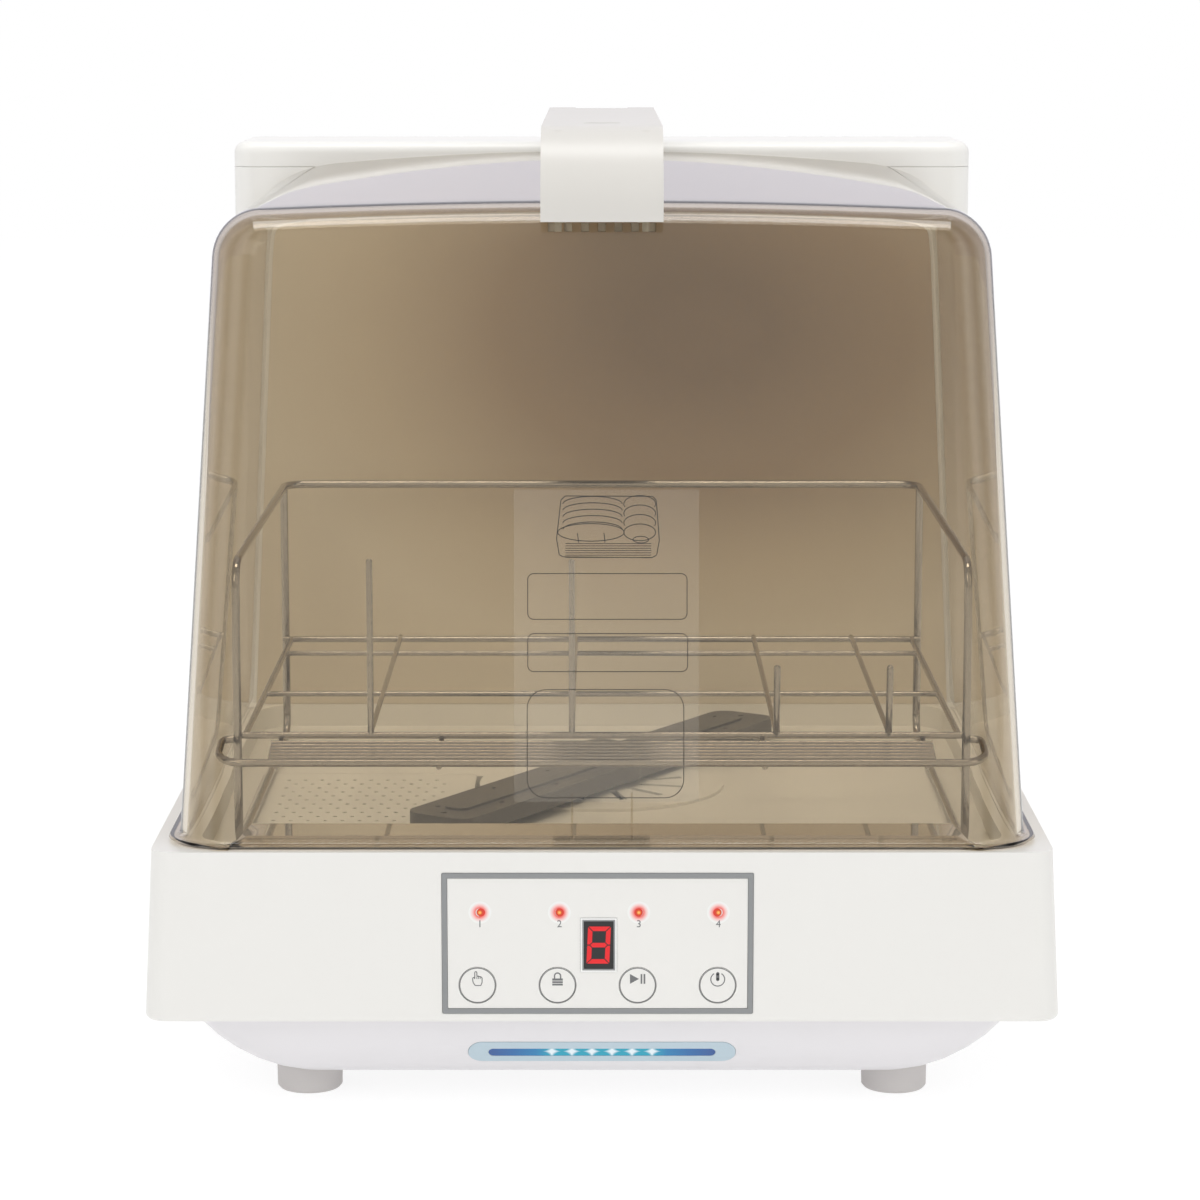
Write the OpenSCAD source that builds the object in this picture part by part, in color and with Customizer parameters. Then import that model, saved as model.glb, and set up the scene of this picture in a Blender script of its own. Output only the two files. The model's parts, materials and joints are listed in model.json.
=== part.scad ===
// Countertop dishwasher: a shallow base with the pumps and controls, a lift-up clear cover,
// a wire rack over a spray arm, and a water tank at the back that carries the cover's hinge.
// Millimetres. X runs to the right, Y to the back, Z up. The origin is under the middle, on the table.

/* [Overall] */
// Width of the base at its lower edge
base_w = 420; // [400:1:440]
// Depth of the base, which is the depth of the machine
base_d = 435; // [432:1:450]
// Height of the base housing
base_h = 80; // [78:0.5:86]
// How far each side of the base leans in at the top
side_draft = 4; // [1:0.5:5]
// Wall of the base housing and the bottom pan
shell_t = 3; // [2.4:0.1:3.4]
// Radius of the upright corners of the base
corner_r = 10; // [7:0.5:14]

/* [Pan and feet] */
// Height of the bottom pan below the base
pan_h = 33; // [31:0.5:36]
// Height of a foot below the pan
foot_h = 15; // [12:0.5:20]
// Radius of a foot at its top
foot_r = 15.8; // [12:0.1:18]
// Distance of a foot from the middle, left and right
foot_x = 139; // [128:0.5:142]
// Distance of a foot from the middle, front and back
foot_y = 156.5; // [148:0.5:160]
// How far each side of the pan's mouth stands in from the base
pan_side = 16; // [16:0.5:30]
// How far the front and back of the pan's mouth stand in from the base
pan_end = 10.5; // [10.5:0.5:17]
// Radius of the pan's rounded flanks
pan_flank_r = 75; // [70:1:90]

/* [Light bar] */
// Length of the lens
lens_l = 124; // [110:1:140]
// Height of the lens along the flank
lens_h = 13; // [12:0.5:17]
// Length of the blue strip in the lens
strip_l = 105; // [90:1:107]
// Height of the blue strip
strip_h = 4.6; // [4:0.2:7]
// Height of the lens above the pan's floor
lens_rise = 13.5; // [12.5:0.5:18]
// Distance between two lamps of the light bar
bar_lamp_pitch = 9.3; // [8:0.1:11]

/* [Control panel] */
// Width of the frame line
panel_w = 142; // [136:0.5:150]
// Height of the frame line
panel_h = 66; // [62:0.5:68]
// Width of the frame line's band
panel_band = 2.4; // [1.8:0.1:3]
// How far the panel sits to the left of the middle
panel_shift = 2; // [0:0.5:6]
// Thickness of the panel plate
panel_t = 2.5; // [2:0.1:3]
// Radius of a key cap
key_r = 8.4; // [7:0.1:9.5]
// Distance from the panel's side to the first key
key_margin = 16.1; // [14:0.1:19]
// Travel of a key
key_travel = 0.6; // [0.4:0.1:1]
// Distance from the panel's side to the first mode lamp
lamp_margin = 17.15; // [14:0.05:20]
// Radius of a mode lamp
lamp_r = 1.9; // [1.5:0.1:2.4]
// Width of the digit window
digit_w = 13.4; // [12:0.2:15]
// Height of the digit window
digit_h = 22.2; // [20:0.2:24]

/* [Wash chamber] */
// Depth of the tub's floor below the deck
tub_depth = 12; // [10:0.5:16]
// Wall of the tub
tub_t = 2.5; // [2:0.1:3]
// How far each side of the tub stands in from the base
tub_side = 24; // [23:0.5:27]
// Radius of the sump
sump_r = 52; // [46:0.5:56]
// Depth of the sump below the tub's floor
sump_depth = 64; // [58:0.5:68]

/* [Spray arm] */
// Room between the spray arm's circle and the back of the tub
arm_back_room = 4; // [3:0.5:8]
// Room between the spray arm's circle and the front of the tub
arm_front_room = 31; // [28:0.5:40]
// Width of a wing
wing_w = 37; // [30:0.5:42]
// Thickness of a wing
wing_t = 8; // [6:0.5:9]
// Angle of the arm at rest from the X axis
arm_angle = 57.5; // [0:0.5:180]
// Radius of the spindle
spindle_r = 8; // [6:0.1:9]

/* [Cover] */
// How far each side of the cover's foot stands in from the base
cover_side = 15.5; // [14.5:0.5:17]
// How far each side of the cover leans in at the top of its front
front_draft = 18.5; // [14:0.5:24]
// How far each side of the cover leans in at the top of its back
rear_draft = 13.5; // [9:0.5:18]
// Wall of the cover
cover_t = 3; // [2.4:0.1:3.4]
// How far the front wall leans back from foot to brow
cover_lean = 29; // [20:0.5:34]
// Height of the brow above the deck
brow_h = 292; // [285:0.5:296]
// How much higher the back of the arch is than the brow
arch_rise = 10; // [8:0.5:12]
// Drop of the arch from its middle to its shoulders at the back
arch_drop = 9.7; // [6:0.1:12]
// Drop of the brow from its middle to its shoulders
brow_drop = 3.5; // [1:0.5:6]
// Radius of the cover's upper edges
cover_r = 26; // [20:0.5:28]
// Radius of the cover's upright front edges at the foot
foot_corner_r = 24; // [20:0.5:28]
// Thickness of the flange round the foot
flange_t = 3; // [2.4:0.1:4]
// How far the flange stands out at the sides
flange_side = 5.5; // [3:0.1:6]

/* [Handle arm and hinge] */
// Width of the handle arm
handle_w = 55.5; // [50:0.5:60]
// Height of the handle arm over the back of the arch
handle_rise = 23.5; // [21.5:0.5:26]
// Radius of the barrel at the handle arm's back end
barrel_r = 12; // [11:0.1:12.5]
// Radius of the hinge pin
hinge_pin_r = 3; // [2.5:0.1:4]
// Radius of the fixed knuckle
knuckle_r = 9.4; // [8:0.1:10]
// Width of the fixed knuckle
knuckle_w = 27; // [22:0.5:32]

/* [Tank] */
// How far each side of the tank stands in from the base
tank_side = 11.5; // [10:0.5:16]
// Depth of the tank
tank_d = 81.5; // [78:0.5:86]
// Height of the tank's lid
lid_h = 13.5; // [12:0.5:15]
// How far the tank's roof lies below the arch
tank_drop = 8.5; // [6:0.5:12]
// Wall of the tank
tank_t = 2.5; // [2:0.1:3]
// Radius of the tank's upright corners
tank_corner_r = 12; // [9:0.5:16]

/* [Rack] */
// Radius of the rack's frame wire
rail_r = 2; // [1.6:0.1:2.4]
// Radius of the rack's floor and shelf wires
wire_r = 1.3; // [1:0.1:1.6]
// Room between the rack and each side of the tub
rack_side_room = 16; // [14:0.5:20]
// Room between the front posts and the front of the tub
rack_front_room = 34; // [32:0.5:38]
// Room between the rack's rim and the back of the tub
rack_back_room = 22; // [18:0.5:30]
// Height of the dish rails above the tub's floor
rack_floor_h = 55; // [48:0.5:60]
// Height of the rim above the tub's floor
rack_rim_h = 137; // [120:1:145]
// How far the shelf stands out in front of the posts
shelf_out = 26; // [20:0.5:30]
// How far the shelf stands out beside the posts
shelf_side = 7.5; // [6:0.5:9]
// Radius of the shelf's front corners
shelf_bend = 12; // [6:0.5:14]
// Number of the shelf's thin wires
shelf_wires = 6; // [4:1:7]

/* [Fits] */
// Gap between pieces that are laid or clipped together
seat_gap = 0.3; // [0.2:0.05:0.4]
// Radial play of a turning or sliding round piece
running_gap = 0.06; // [0.03:0.01:0.09]
// Gap round a key cap
key_gap = 0.25; // [0.2:0.05:0.35]

/* [Hidden] */

$fn = 48;
hull_fn = 32;
eps = 0.01;

function unit(v) = v / norm(v);

// Levels
z_pan = foot_h;
z_base = z_pan + pan_h;
z_deck = z_base + base_h;
z_floor = z_deck - tub_depth;
z_cover = z_deck + seat_gap;
z_brow = z_deck + brow_h;
z_arch = z_brow + arch_rise;
z_tank = z_arch - tank_drop;
z_lid = z_tank + lid_h;
z_handle = z_arch + handle_rise;

// Front and back planes, and the width of the deck
y_front = -base_d / 2;
y_rear = base_d / 2;
base_top_w = base_w - 2 * side_draft;
base_inner_w = base_w - 2 * shell_t;
base_inner_d = base_d - 2 * shell_t;
pan_w = base_w - 2 * pan_side;
pan_d = base_d - 2 * pan_end;
pan_flange_w = base_inner_w - 2 * seat_gap - 0.4 * side_draft;
base_edge_r = 2.6;

// Screws
screw_r = 1.5;
screw_head_r = 3.2;
head_t = 1.6;
thread_gap = 0.05;

// Pan, its flange and the posts over it
flange_h = 3;
post_h = 16;
post_r = 5.5;
screw_x = base_inner_w / 2 - 8;
screw_y = base_inner_d / 2 - 22.5;
screw_spots = [for (sx = [-1, 1], t = [-1, -1/3, 1/3, 1]) [sx * screw_x, t * screw_y]];
pan_screw_r = 1.75;
pan_squash = 0.43;
pan_flank = sqrt(pow(pan_flank_r, 2) - pow(pan_flank_r - pan_h, 2));
foot_spots = [for (sx = [-1, 1], sy = [-1, 1]) [sx * foot_x, sy * foot_y]];
foot_screw_r = 1.8;
foot_recess = 5;
boss_h = 15;

// Light bar: its place on the front flank and the flank's slope there
lens_dz = pan_flank_r - lens_rise;
lens_reach = sqrt(pow(pan_flank_r, 2) - pow(lens_dz, 2)) * pan_squash;
lens_y = -(pan_d / 2 - pan_flank * pan_squash + lens_reach);
lens_z = z_pan + lens_rise;
lens_tilt = atan(lens_dz * pan_squash * pan_squash / lens_reach);
lens_proud = 0.4;
lens_grade = sqrt(pow(lens_reach / pow(pan_squash, 2), 2) + pow(lens_dz, 2)) / pan_flank_r;
lens_back = (shell_t - lens_proud) / lens_grade;
lamp_board_back = shell_t + 3.4;
lamp_board_t = 1.6;

// Control panel, its keys, lamps, digit and board
panel_x = -panel_shift;
panel_z = z_base + base_h / 2 - 2.6;
panel_gap = 0.15;
frame_proud = 0.3;
plate_w = panel_w - 2 * panel_band - 2 * panel_gap;
plate_h = panel_h - 2 * panel_band - 2 * panel_gap;
skirt_t = 1.2;
rim_depth = 2;
rim_low = z_base + flange_h + 0.5;
rim_high = panel_z + panel_h / 2 + 4;
pillar_inset = 3.5;
pillar_drop = 2.5;
pillar_r = 2.8;
pillar_spots = [for (s = [-1, 1], t = [-1, 1])
    [panel_x + s * (plate_w / 2 - pillar_inset),
        panel_z + t * (plate_h / 2 - pillar_inset) - (t > 0 ? pillar_drop : 0)]];
key_z = panel_z - panel_h / 2 + 13.4;
key_pitch = (panel_w - 2 * key_margin) / 3;
key_x = [for (i = [-1.5:1.5]) panel_x + i * key_pitch];
collar_r = key_r + 0.8;
plunger_r = 2;
lamp_z = panel_z + panel_h / 2 - 18.4;
lamp_pitch = (panel_w - 2 * lamp_margin) / 3;
lamp_x = [for (i = [-1.5:1.5]) panel_x + 0.7 + i * lamp_pitch];
digit_x = panel_x + 0.5;
digit_z = panel_z - 0.7;
bezel_band = 1.6;
seg_w = 1.9;
seg_l = 8.2;
seg_slant = 4;
board_y = y_front + 14;
board_t = 1.6;
switch_h = 3.5;
switch_front = board_y - switch_h;

// Tub
tank_front = y_rear - tank_d;
chamber_back = tank_front - 4;
tub_half_w = base_w / 2 - tub_side;
tub_front = y_front + 18.5;
tub_y = (tub_front + chamber_back) / 2;
tub_d = chamber_back - tub_front;
tub_corner_r = 20;
rim_w = 6;
rim_t = 2;
deck_hole_gap = 0.4;
well_depth = 8;
gutter_w = 44;
gutter_l = 30;

// Hub, spray arm and filter
arm_reach = (tub_d - arm_back_room - arm_front_room) / 2;
hub_y = chamber_back - arm_back_room - arm_reach;
hub_disc_r = sump_r + 10;
disc_t = 1.6;
arm_lift = 3;
z_arm = z_floor + disc_t + arm_lift;
hub_h = wing_t + 3.5;
spindle_top = z_arm + hub_h + 4;
filter_x0 = -tub_half_w + 12;
filter_x1 = -hub_disc_r - 2.4;
filter_y0 = hub_y - 130;
filter_y1 = hub_y + 28;
filter_t = 1.4;
hole_pitch = 8.4;
hole_r = 1.3;

// Sump, heater and pumps; the pumps' axes run left and right
z_sump = z_floor - sump_depth;
sump_t = 3;
pump_z = z_sump + 14;
stub_r = 10;
stub_bore = 7;
sump_stub = 14;
stub_gap = 2;
pump_x = sump_r + 2 * sump_stub + stub_gap;
outlet_r = 9;
shaft_r = 3;
wash_volute_r = 32;
wash_volute_w = 26;
wash_motor_r = 28;
wash_motor_l = 60;
drain_volute_r = 23;
drain_volute_w = 22;
drain_motor_r = 19;
drain_motor_l = 42;
heater_r = 3.2;
heater_ring = sump_r - 12;
heater_z = z_sump + sump_t + 0.1 + heater_r;
heater_ends = [255, 285];

// Hoses
hose_r = outlet_r + 2;
hose_bore = outlet_r - 2.5;
hose_lap = 12;
hose_bend = 26;
feed_z = pump_z + wash_volute_r - outlet_r;
feed_stub_y = hub_y + sump_r + 16;
feed_hose_x = pump_x + wash_volute_w / 2;
feed_hose_y0 = hub_y + wash_volute_r + 0.5;
feed_hose_y1 = feed_stub_y - hose_lap;
feed_way = 42;
feed_turn_y = feed_stub_y + feed_way;

// Pockets in the back wall for the drain spout and the mains inlet
pocket_w = 46;
pocket_d = 30;
spout_r = 8;
spout_in_r = spout_r - 0.4;
spout_l = 24;
spout_back = y_rear - pocket_d;
spout_x = -pump_x - drain_volute_w / 2;
spout_z = pump_z + drain_volute_r - outlet_r;
inlet_x = base_w / 2 - 100;
inlet_z = z_base + 32;
inlet_w = 48;
inlet_h = 27;
inlet_d = 24;

// Cover: front wall at the foot, back edge, and the middle of the brow's round
cover_w = base_w - 2 * cover_side;
cover_top_w = cover_w - 2 * front_draft;
cover_rear_w = cover_w - 2 * rear_draft;
cover_front = y_front + 4.5;
cover_rear = chamber_back + 3;
brow_y = cover_front + cover_lean + cover_r;
flange_front = y_front + 2;
flange_half_w = cover_w / 2 + flange_side;
lean_angle = atan(cover_lean / (brow_h - cover_r));
roof_front = [brow_y, z_brow - cover_r];
roof_back = [cover_rear - 1, z_arch - cover_r];
roof_way = unit(roof_back - roof_front);
roof_up = [-roof_way[1], roof_way[0]];

// Half width of the cover outside, low on its sides
function cover_half(z) = cover_w / 2 + (cover_rear_w - cover_w) / 2 * (z - z_cover) / (brow_h - cover_r);

// Hinge axis and handle arm
hinge_y = cover_rear - 4;
hinge_z = z_handle - barrel_r;
brow_bend_r = 36;
lip_z = z_brow - 8.5;
handle_front = brow_y - cover_r - 2;
bend_y = handle_front + brow_bend_r;
arm_wall = 3;
ear_gap = 0.4;
stud_x = handle_w / 2 - 7.75;
stud_spots = [for (x = [-stud_x, stud_x], y = [handle_front + 28, hinge_y - 57]) [x, y]];
stud_r = 1.6;
stud_low = z_brow - 14.5;
stud_top = z_arch + 4;
magnet_x = stud_x;
magnet_y = hinge_y - barrel_r - 16;

// Label film
film_w = 84;
film_h = 142;
film_z = 93;

// Back panel, tank, its lid, outlet, hooks and float
tank_w = base_w - 2 * tank_side;
back_panel_t = 3;
back_gap = 1.6;
tank_y = (y_rear + tank_front) / 2;
tank_roof_t = 3;
bridge_w = 84;
fill_d = tank_d - 2 * tank_t - 8;
fill_w = (tank_w - bridge_w) / 2 - 12;
fill_x = bridge_w / 2 + fill_w / 2;
notch_w = handle_w + 3.5;
notch_d = 30;
lid_edge_r = 6;
valve_x = 60;
valve_r = 13;
pipe_r = 8;
tank_pipe_y = tank_front + 40;
inlet_stub_z = z_floor + 2.5;
hook_x = [-tank_w / 2 + 48.5, tank_w / 2 - 48.5];
hook_y = tank_front + 60;
hook_w = 12;
hook_t = 3;
stem_x = -tank_w / 2 + 38.5;
stem_r = 4;
stem_foot_r = 11;
stem_foot_t = 2.5;
float_travel = 60;
float_h = 20;
stem_len = float_h + 4 + float_travel;
bracket_t = 3;
bracket_w = 52;
bracket_spots = [for (sx = [-1, 1], dy = [6, 20]) [sx * (bracket_w / 2 - 6), tank_front + dy]];

// Rack
rack_half_w = tub_half_w - rack_side_room;
rack_front = -tub_front - rack_front_room;
rack_back = chamber_back - rack_back_room;
shelf_half_w = rack_half_w + shelf_side;
shelf_wire_x = rack_half_w - 20;
z_rail = z_floor + rack_floor_h;
z_rim = z_floor + rack_rim_h;
z_runner = z_floor + rail_r + seat_gap;
rim_bend = 12;
back_post_y = rack_back - rim_bend;
weld = 0.3;
side_r = 1.6;
front_rail_y = -rack_front + rail_r + side_r - weld;
back_rail_y = back_post_y - rail_r - side_r + weld;
side_rail_x = rack_half_w - rail_r - side_r + weld;
cross_rails = [-60, 52];
pin_spots = [-108, -14];
pin_r = 1.5;
prong_spots = [81.5, 134];
prong_r = 1.6;
prong_h = 33;
prong_lean = 8;
shelf_slope = 13;
shelf_wire_r = 1.1;
shelf_rim_r = 1.8;
shelf_below = wire_r + shelf_wire_r - weld;
shelf_tail = 5;
shelf_fall = (front_rail_y + rack_front) * sin(shelf_slope);
shelf_sink = (shelf_fall + side_r + wire_r - weld - shelf_below) / cos(shelf_slope);

// Rounded plates and rings

module round_rect(w, d, r) {
    square([w - 2 * r, d], center = true);
    square([w, d - 2 * r], center = true);
    for (sx = [-1, 1], sy = [-1, 1])
        translate([sx * (w / 2 - r), sy * (d / 2 - r)]) circle(r = r);
}

module plate(w, d, r, h) {
    linear_extrude(height = h) round_rect(w, d, r);
}

// A flat plate that stands upright and faces the front, its face at y
module front_plate(x, y, z, w, h, r, t) {
    translate([x, y + t, z]) rotate([90, 0, 0]) plate(w, h, r, t);
}

// A round bar along Y from y0 towards the back
module bar_y(x, y0, z, r, l) {
    translate([x, y0, z]) rotate([-90, 0, 0]) cylinder(r = r, h = l);
}

module bar_x(x0, y, z, r, l) {
    translate([x0, y, z]) rotate([0, 90, 0]) cylinder(r = r, h = l);
}

// Stadium outline: a slot with round ends
module stadium(l, h) {
    square([l - h, h], center = true);
    for (s = [-1, 1]) translate([s * (l - h) / 2, 0]) circle(r = h / 2);
}

// Bent wire: straight rods joined by round bends

function turn_angle(a, b, c) = acos(min(1, max(-1, unit(b - a) * unit(c - b))));
function bend_trim(a, b, c, bend) = bend * tan(turn_angle(a, b, c) / 2);

module rod(a, b, r) {
    v = b - a;
    translate(a) rotate([0, acos(v[2] / norm(v)), atan2(v[1], v[0])])
        cylinder(r = r, h = norm(v), $fn = 24);
}

module bend_at(a, b, c, r, bend) {
    u = unit(b - a);
    w = unit(c - b);
    angle = turn_angle(a, b, c);
    n = unit(cross(u, w));
    start = b - u * bend_trim(a, b, c, bend);
    inward = unit(cross(n, u));
    centre = start + inward * bend;
    out = -inward;
    multmatrix([[out[0], u[0], n[0], centre[0]], [out[1], u[1], n[1], centre[1]],
        [out[2], u[2], n[2], centre[2]], [0, 0, 0, 1]])
        rotate_extrude(angle = angle, $fn = 48) translate([bend, 0]) circle(r = r, $fn = 24);
}

// bends holds one radius for each corner
module wire(points, r, bends) {
    last = len(points) - 1;
    for (i = [0:last - 1]) {
        u = unit(points[i + 1] - points[i]);
        from = i == 0 ? 0 : bend_trim(points[i - 1], points[i], points[i + 1], bends[i - 1]);
        to = i == last - 1 ? 0 : bend_trim(points[i], points[i + 1], points[i + 2], bends[i]);
        rod(points[i] + u * from, points[i + 1] - u * to, r);
    }
    for (i = [1:1:last - 1]) bend_at(points[i - 1], points[i], points[i + 1], r, bends[i - 1]);
}

function same_bends(points, bend) = [for (i = [2:len(points) - 1]) bend];

// Base housing

// Outer form of the base, drawn in by inset; its lower edge is rounded
module base_form(inset, z0, z1) {
    edge_x = base_w / 2 - corner_r;
    top_x = base_top_w / 2 - corner_r;
    edge_y = base_d / 2 - corner_r;
    hull() for (sx = [-1, 1], sy = [-1, 1]) {
        if (inset == 0) translate([sx * edge_x, sy * edge_y, z0 + base_edge_r])
            rotate_extrude($fn = hull_fn) translate([corner_r - base_edge_r, 0]) circle(r = base_edge_r);
        translate([sx * edge_x, sy * edge_y, z0 + base_edge_r])
            cylinder(r = corner_r - inset, h = eps, $fn = hull_fn);
        translate([sx * top_x, sy * edge_y, z1 - eps])
            cylinder(r = corner_r - inset, h = eps, $fn = hull_fn);
    }
}

module base_housing() {
    color("whitesmoke") {
        difference() {
            base_form(0, z_base, z_deck);
            difference() {
                base_form(shell_t, z_base - 8, z_deck - shell_t);
                // Walls of the two pockets at the back
                back_pocket_walls();
            }
            // Tub opening with a step for the tub's rim
            translate([0, tub_y, z_deck - 20])
                plate(2 * (tub_half_w + tub_t + deck_hole_gap), tub_d + 2 * (tub_t + deck_hole_gap),
                    tub_corner_r + tub_t + deck_hole_gap, 30);
            translate([0, tub_y, z_deck - rim_t - seat_gap])
                plate(2 * (tub_half_w + rim_w + seat_gap), tub_d + 2 * (rim_w + seat_gap),
                    tub_corner_r + rim_w, 10);
            // Control panel opening
            front_plate(panel_x, y_front - 5, panel_z, panel_w + 2 * panel_gap,
                panel_h + 2 * panel_gap, 0.8, 12);
            // Openings of the pockets at the back
            translate([spout_x, y_rear, spout_z])
                cube([pocket_w, 2 * pocket_d, pocket_w], center = true);
            bar_y(spout_x, spout_back - 10, spout_z, spout_in_r + 0.2, 12);
            translate([inlet_x - inlet_w / 2 - panel_gap, y_rear - 10, inlet_z - inlet_h / 2 - panel_gap])
                cube([inlet_w + 2 * panel_gap, 20, inlet_h + 2 * panel_gap]);
            // Hole for the tank's outlet
            translate([valve_x, tank_pipe_y, z_deck - 10]) cylinder(r = pipe_r + 2, h = 20);
            // Air slots low on the back wall
            for (i = [0:6]) translate([-21 + 7 * i, y_rear - 10, z_base + 18]) cube([3, 20, 26]);
            // Slots for the tank's two hooks
            for (x = hook_x) translate([x - hook_w / 2 - 0.5, hook_y - 0.5, z_deck - 10])
                cube([hook_w + 1, hook_t + 3.5, 20]);
        }
        screw_posts();
    }
}

module back_pocket_walls() {
    translate([spout_x, y_rear - pocket_d / 2, spout_z])
        cube([pocket_w + 2 * shell_t, pocket_d + 2 * shell_t, pocket_w + 2 * shell_t], center = true);
}

// Posts that take the pan's screws, hung on ribs from the side walls
module screw_posts() {
    for (p = screw_spots) translate([p[0], p[1], z_base + flange_h + seat_gap]) {
        difference() {
            union() {
                cylinder(r = post_r, h = post_h);
                translate([sign(p[0]) * 4.5, 0, post_h / 2]) cube([9, 3, post_h], center = true);
            }
            translate([0, 0, -1]) cylinder(r = screw_r + thread_gap, h = post_h - 2);
        }
    }
}

// Bottom pan, feet and their screws

// Bowl of the pan drawn in by inset: round flanks from a flat floor
module pan_form(inset, top) {
    r = pan_flank_r - inset;
    steps = 7;
    end = asin(pan_flank / pan_flank_r);
    hull() for (sx = [-1, 1], sy = [-1, 1])
        translate([sx * (pan_w / 2 - pan_flank), sy * (pan_d / 2 - pan_flank * pan_squash),
            z_pan + pan_flank_r]) scale([1, pan_squash, 1]) rotate_extrude($fn = hull_fn)
            polygon(concat([[0, -r]],
                [for (i = [1:steps]) [r * sin(end * i / steps), -r * cos(end * i / steps)]],
                [[r * sin(end) + 0.2, pan_h - pan_flank_r + top], [0, pan_h - pan_flank_r + top]]));
}

// Prism along the flank's normal at the light bar
module lens_prism(l, h, grow) {
    translate([0, lens_y, lens_z]) rotate([90 + lens_tilt, 0, 0]) translate([0, 0, -12])
        linear_extrude(height = 24) stadium(l + grow, h + grow);
}

module bottom_pan() {
    color("white") {
        difference() {
            union() {
                difference() {
                    pan_form(0, 0);
                    difference() {
                        pan_form(shell_t, 2);
                        for (p = foot_spots) translate([p[0], p[1], z_pan])
                            cylinder(r = foot_screw_r + 5, h = boss_h + 3);
                        pump_saddles();
                    }
                }
                difference() {
                    translate([0, 0, z_base])
                        plate(pan_flange_w, base_inner_d - 2 * seat_gap, corner_r - shell_t, flange_h);
                    translate([0, 0, z_base - 1]) linear_extrude(height = flange_h + 2)
                        round_rect(pan_w - 2 * shell_t, pan_d - 2 * shell_t, 40);
                }
            }
            for (p = screw_spots) translate([p[0], p[1], z_base - 1]) {
                cylinder(r = pan_screw_r, h = 10);
                cylinder(r = screw_head_r + 0.3, h = 1 + head_t);
            }
            for (p = foot_spots) translate([p[0], p[1], z_pan - 2])
                cylinder(r = foot_screw_r, h = boss_h);
            lens_prism(lens_l, lens_h, 2 * panel_gap);
            // Air slots in the floor
            for (i = [0:8]) translate([-60 + 15 * i, 60, z_pan - 2]) cube([4, 50, 8]);
        }
    }
}

// Saddles on the pan's floor under the two pumps
module pump_saddles() {
    difference() {
        for (x = [pump_x + wash_volute_w + 14, pump_x + wash_volute_w + wash_motor_l - 16])
            translate([x - 3, hub_y - 20, z_pan]) cube([6, 40, pump_z - z_pan]);
        bar_x(pump_x, hub_y, pump_z, wash_motor_r + seat_gap, 2 * wash_motor_l);
    }
    difference() {
        for (x = [pump_x + drain_volute_w + 10, pump_x + drain_volute_w + drain_motor_l - 10])
            translate([-x - 3, hub_y - 14, z_pan]) cube([6, 28, pump_z - z_pan]);
        bar_x(-pump_x - 2 * drain_motor_l, hub_y, pump_z, drain_motor_r + seat_gap, 2 * drain_motor_l);
    }
}

module feet() {
    color("silver") difference() {
        for (p = foot_spots) translate([p[0], p[1], 0]) {
            difference() {
                union() {
                    cylinder(r1 = foot_r - 1.4, r2 = foot_r - 0.4, h = 1.2);
                    translate([0, 0, 1.2]) cylinder(r1 = foot_r - 0.4, r2 = foot_r, h = z_pan + 14);
                }
                translate([0, 0, -1]) cylinder(r = 5, h = foot_recess + 1);
                cylinder(r = foot_screw_r + 0.2, h = 40);
            }
        }
        pan_form(0, 40);
    }
}

module foot_screws() {
    color("gray") for (p = foot_spots) translate([p[0], p[1], 0]) {
        translate([0, 0, foot_recess - 2.4]) cylinder(r = 4, h = 2.4);
        translate([0, 0, foot_recess - 1]) cylinder(r = foot_screw_r - thread_gap, h = z_pan + 4);
    }
}

module pan_screws() {
    color("gray") for (p = screw_spots) translate([p[0], p[1], z_base]) {
        translate([0, 0, 0.2]) cylinder(r = screw_head_r, h = head_t - 0.25);
        cylinder(r = screw_r, h = flange_h + post_h - 4);
    }
}

// Light bar

module light_lens() {
    color("lightsteelblue") difference() {
        intersection() {
            difference() {
                pan_form(-lens_proud, 0);
                pan_form(shell_t - lens_proud, 4);
            }
            lens_prism(lens_l, lens_h, 0);
        }
        lens_prism(strip_l, strip_h, 2 * panel_gap);
    }
}

module light_strip() {
    color("darkblue") intersection() {
        difference() {
            pan_form(-0.1, 0);
            pan_form(shell_t - lens_proud, 4);
        }
        lens_prism(strip_l, strip_h, 0);
    }
}

// Lamp board behind the lens, held on the pan's inside
module light_board() {
    color("seagreen") translate([0, lens_y, lens_z]) rotate([90 + lens_tilt, 0, 0])
        translate([0, 0, -lamp_board_back]) {
            translate([0, 0, -lamp_board_t]) linear_extrude(height = lamp_board_t + eps)
                square([lens_l - 8, 12], center = true);
            for (i = [-2.5:2.5]) translate([i * bar_lamp_pitch, 0, 0])
                linear_extrude(height = 1.6) square([3.2, 2.8], center = true);
            for (s = [-1, 1]) translate([s * (lens_l / 2 - 8), 0, 0])
                cylinder(r = 2, h = lamp_board_back - lens_back - 0.5);
        }
}

// Control panel

module panel_frame() {
    color("gray") difference() {
        front_plate(panel_x, y_front - frame_proud, panel_z, panel_w, panel_h, 0.6, shell_t + frame_proud);
        front_plate(panel_x, y_front - 2, panel_z, panel_w - 2 * panel_band, panel_h - 2 * panel_band,
            0.4, 10);
    }
}

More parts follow.
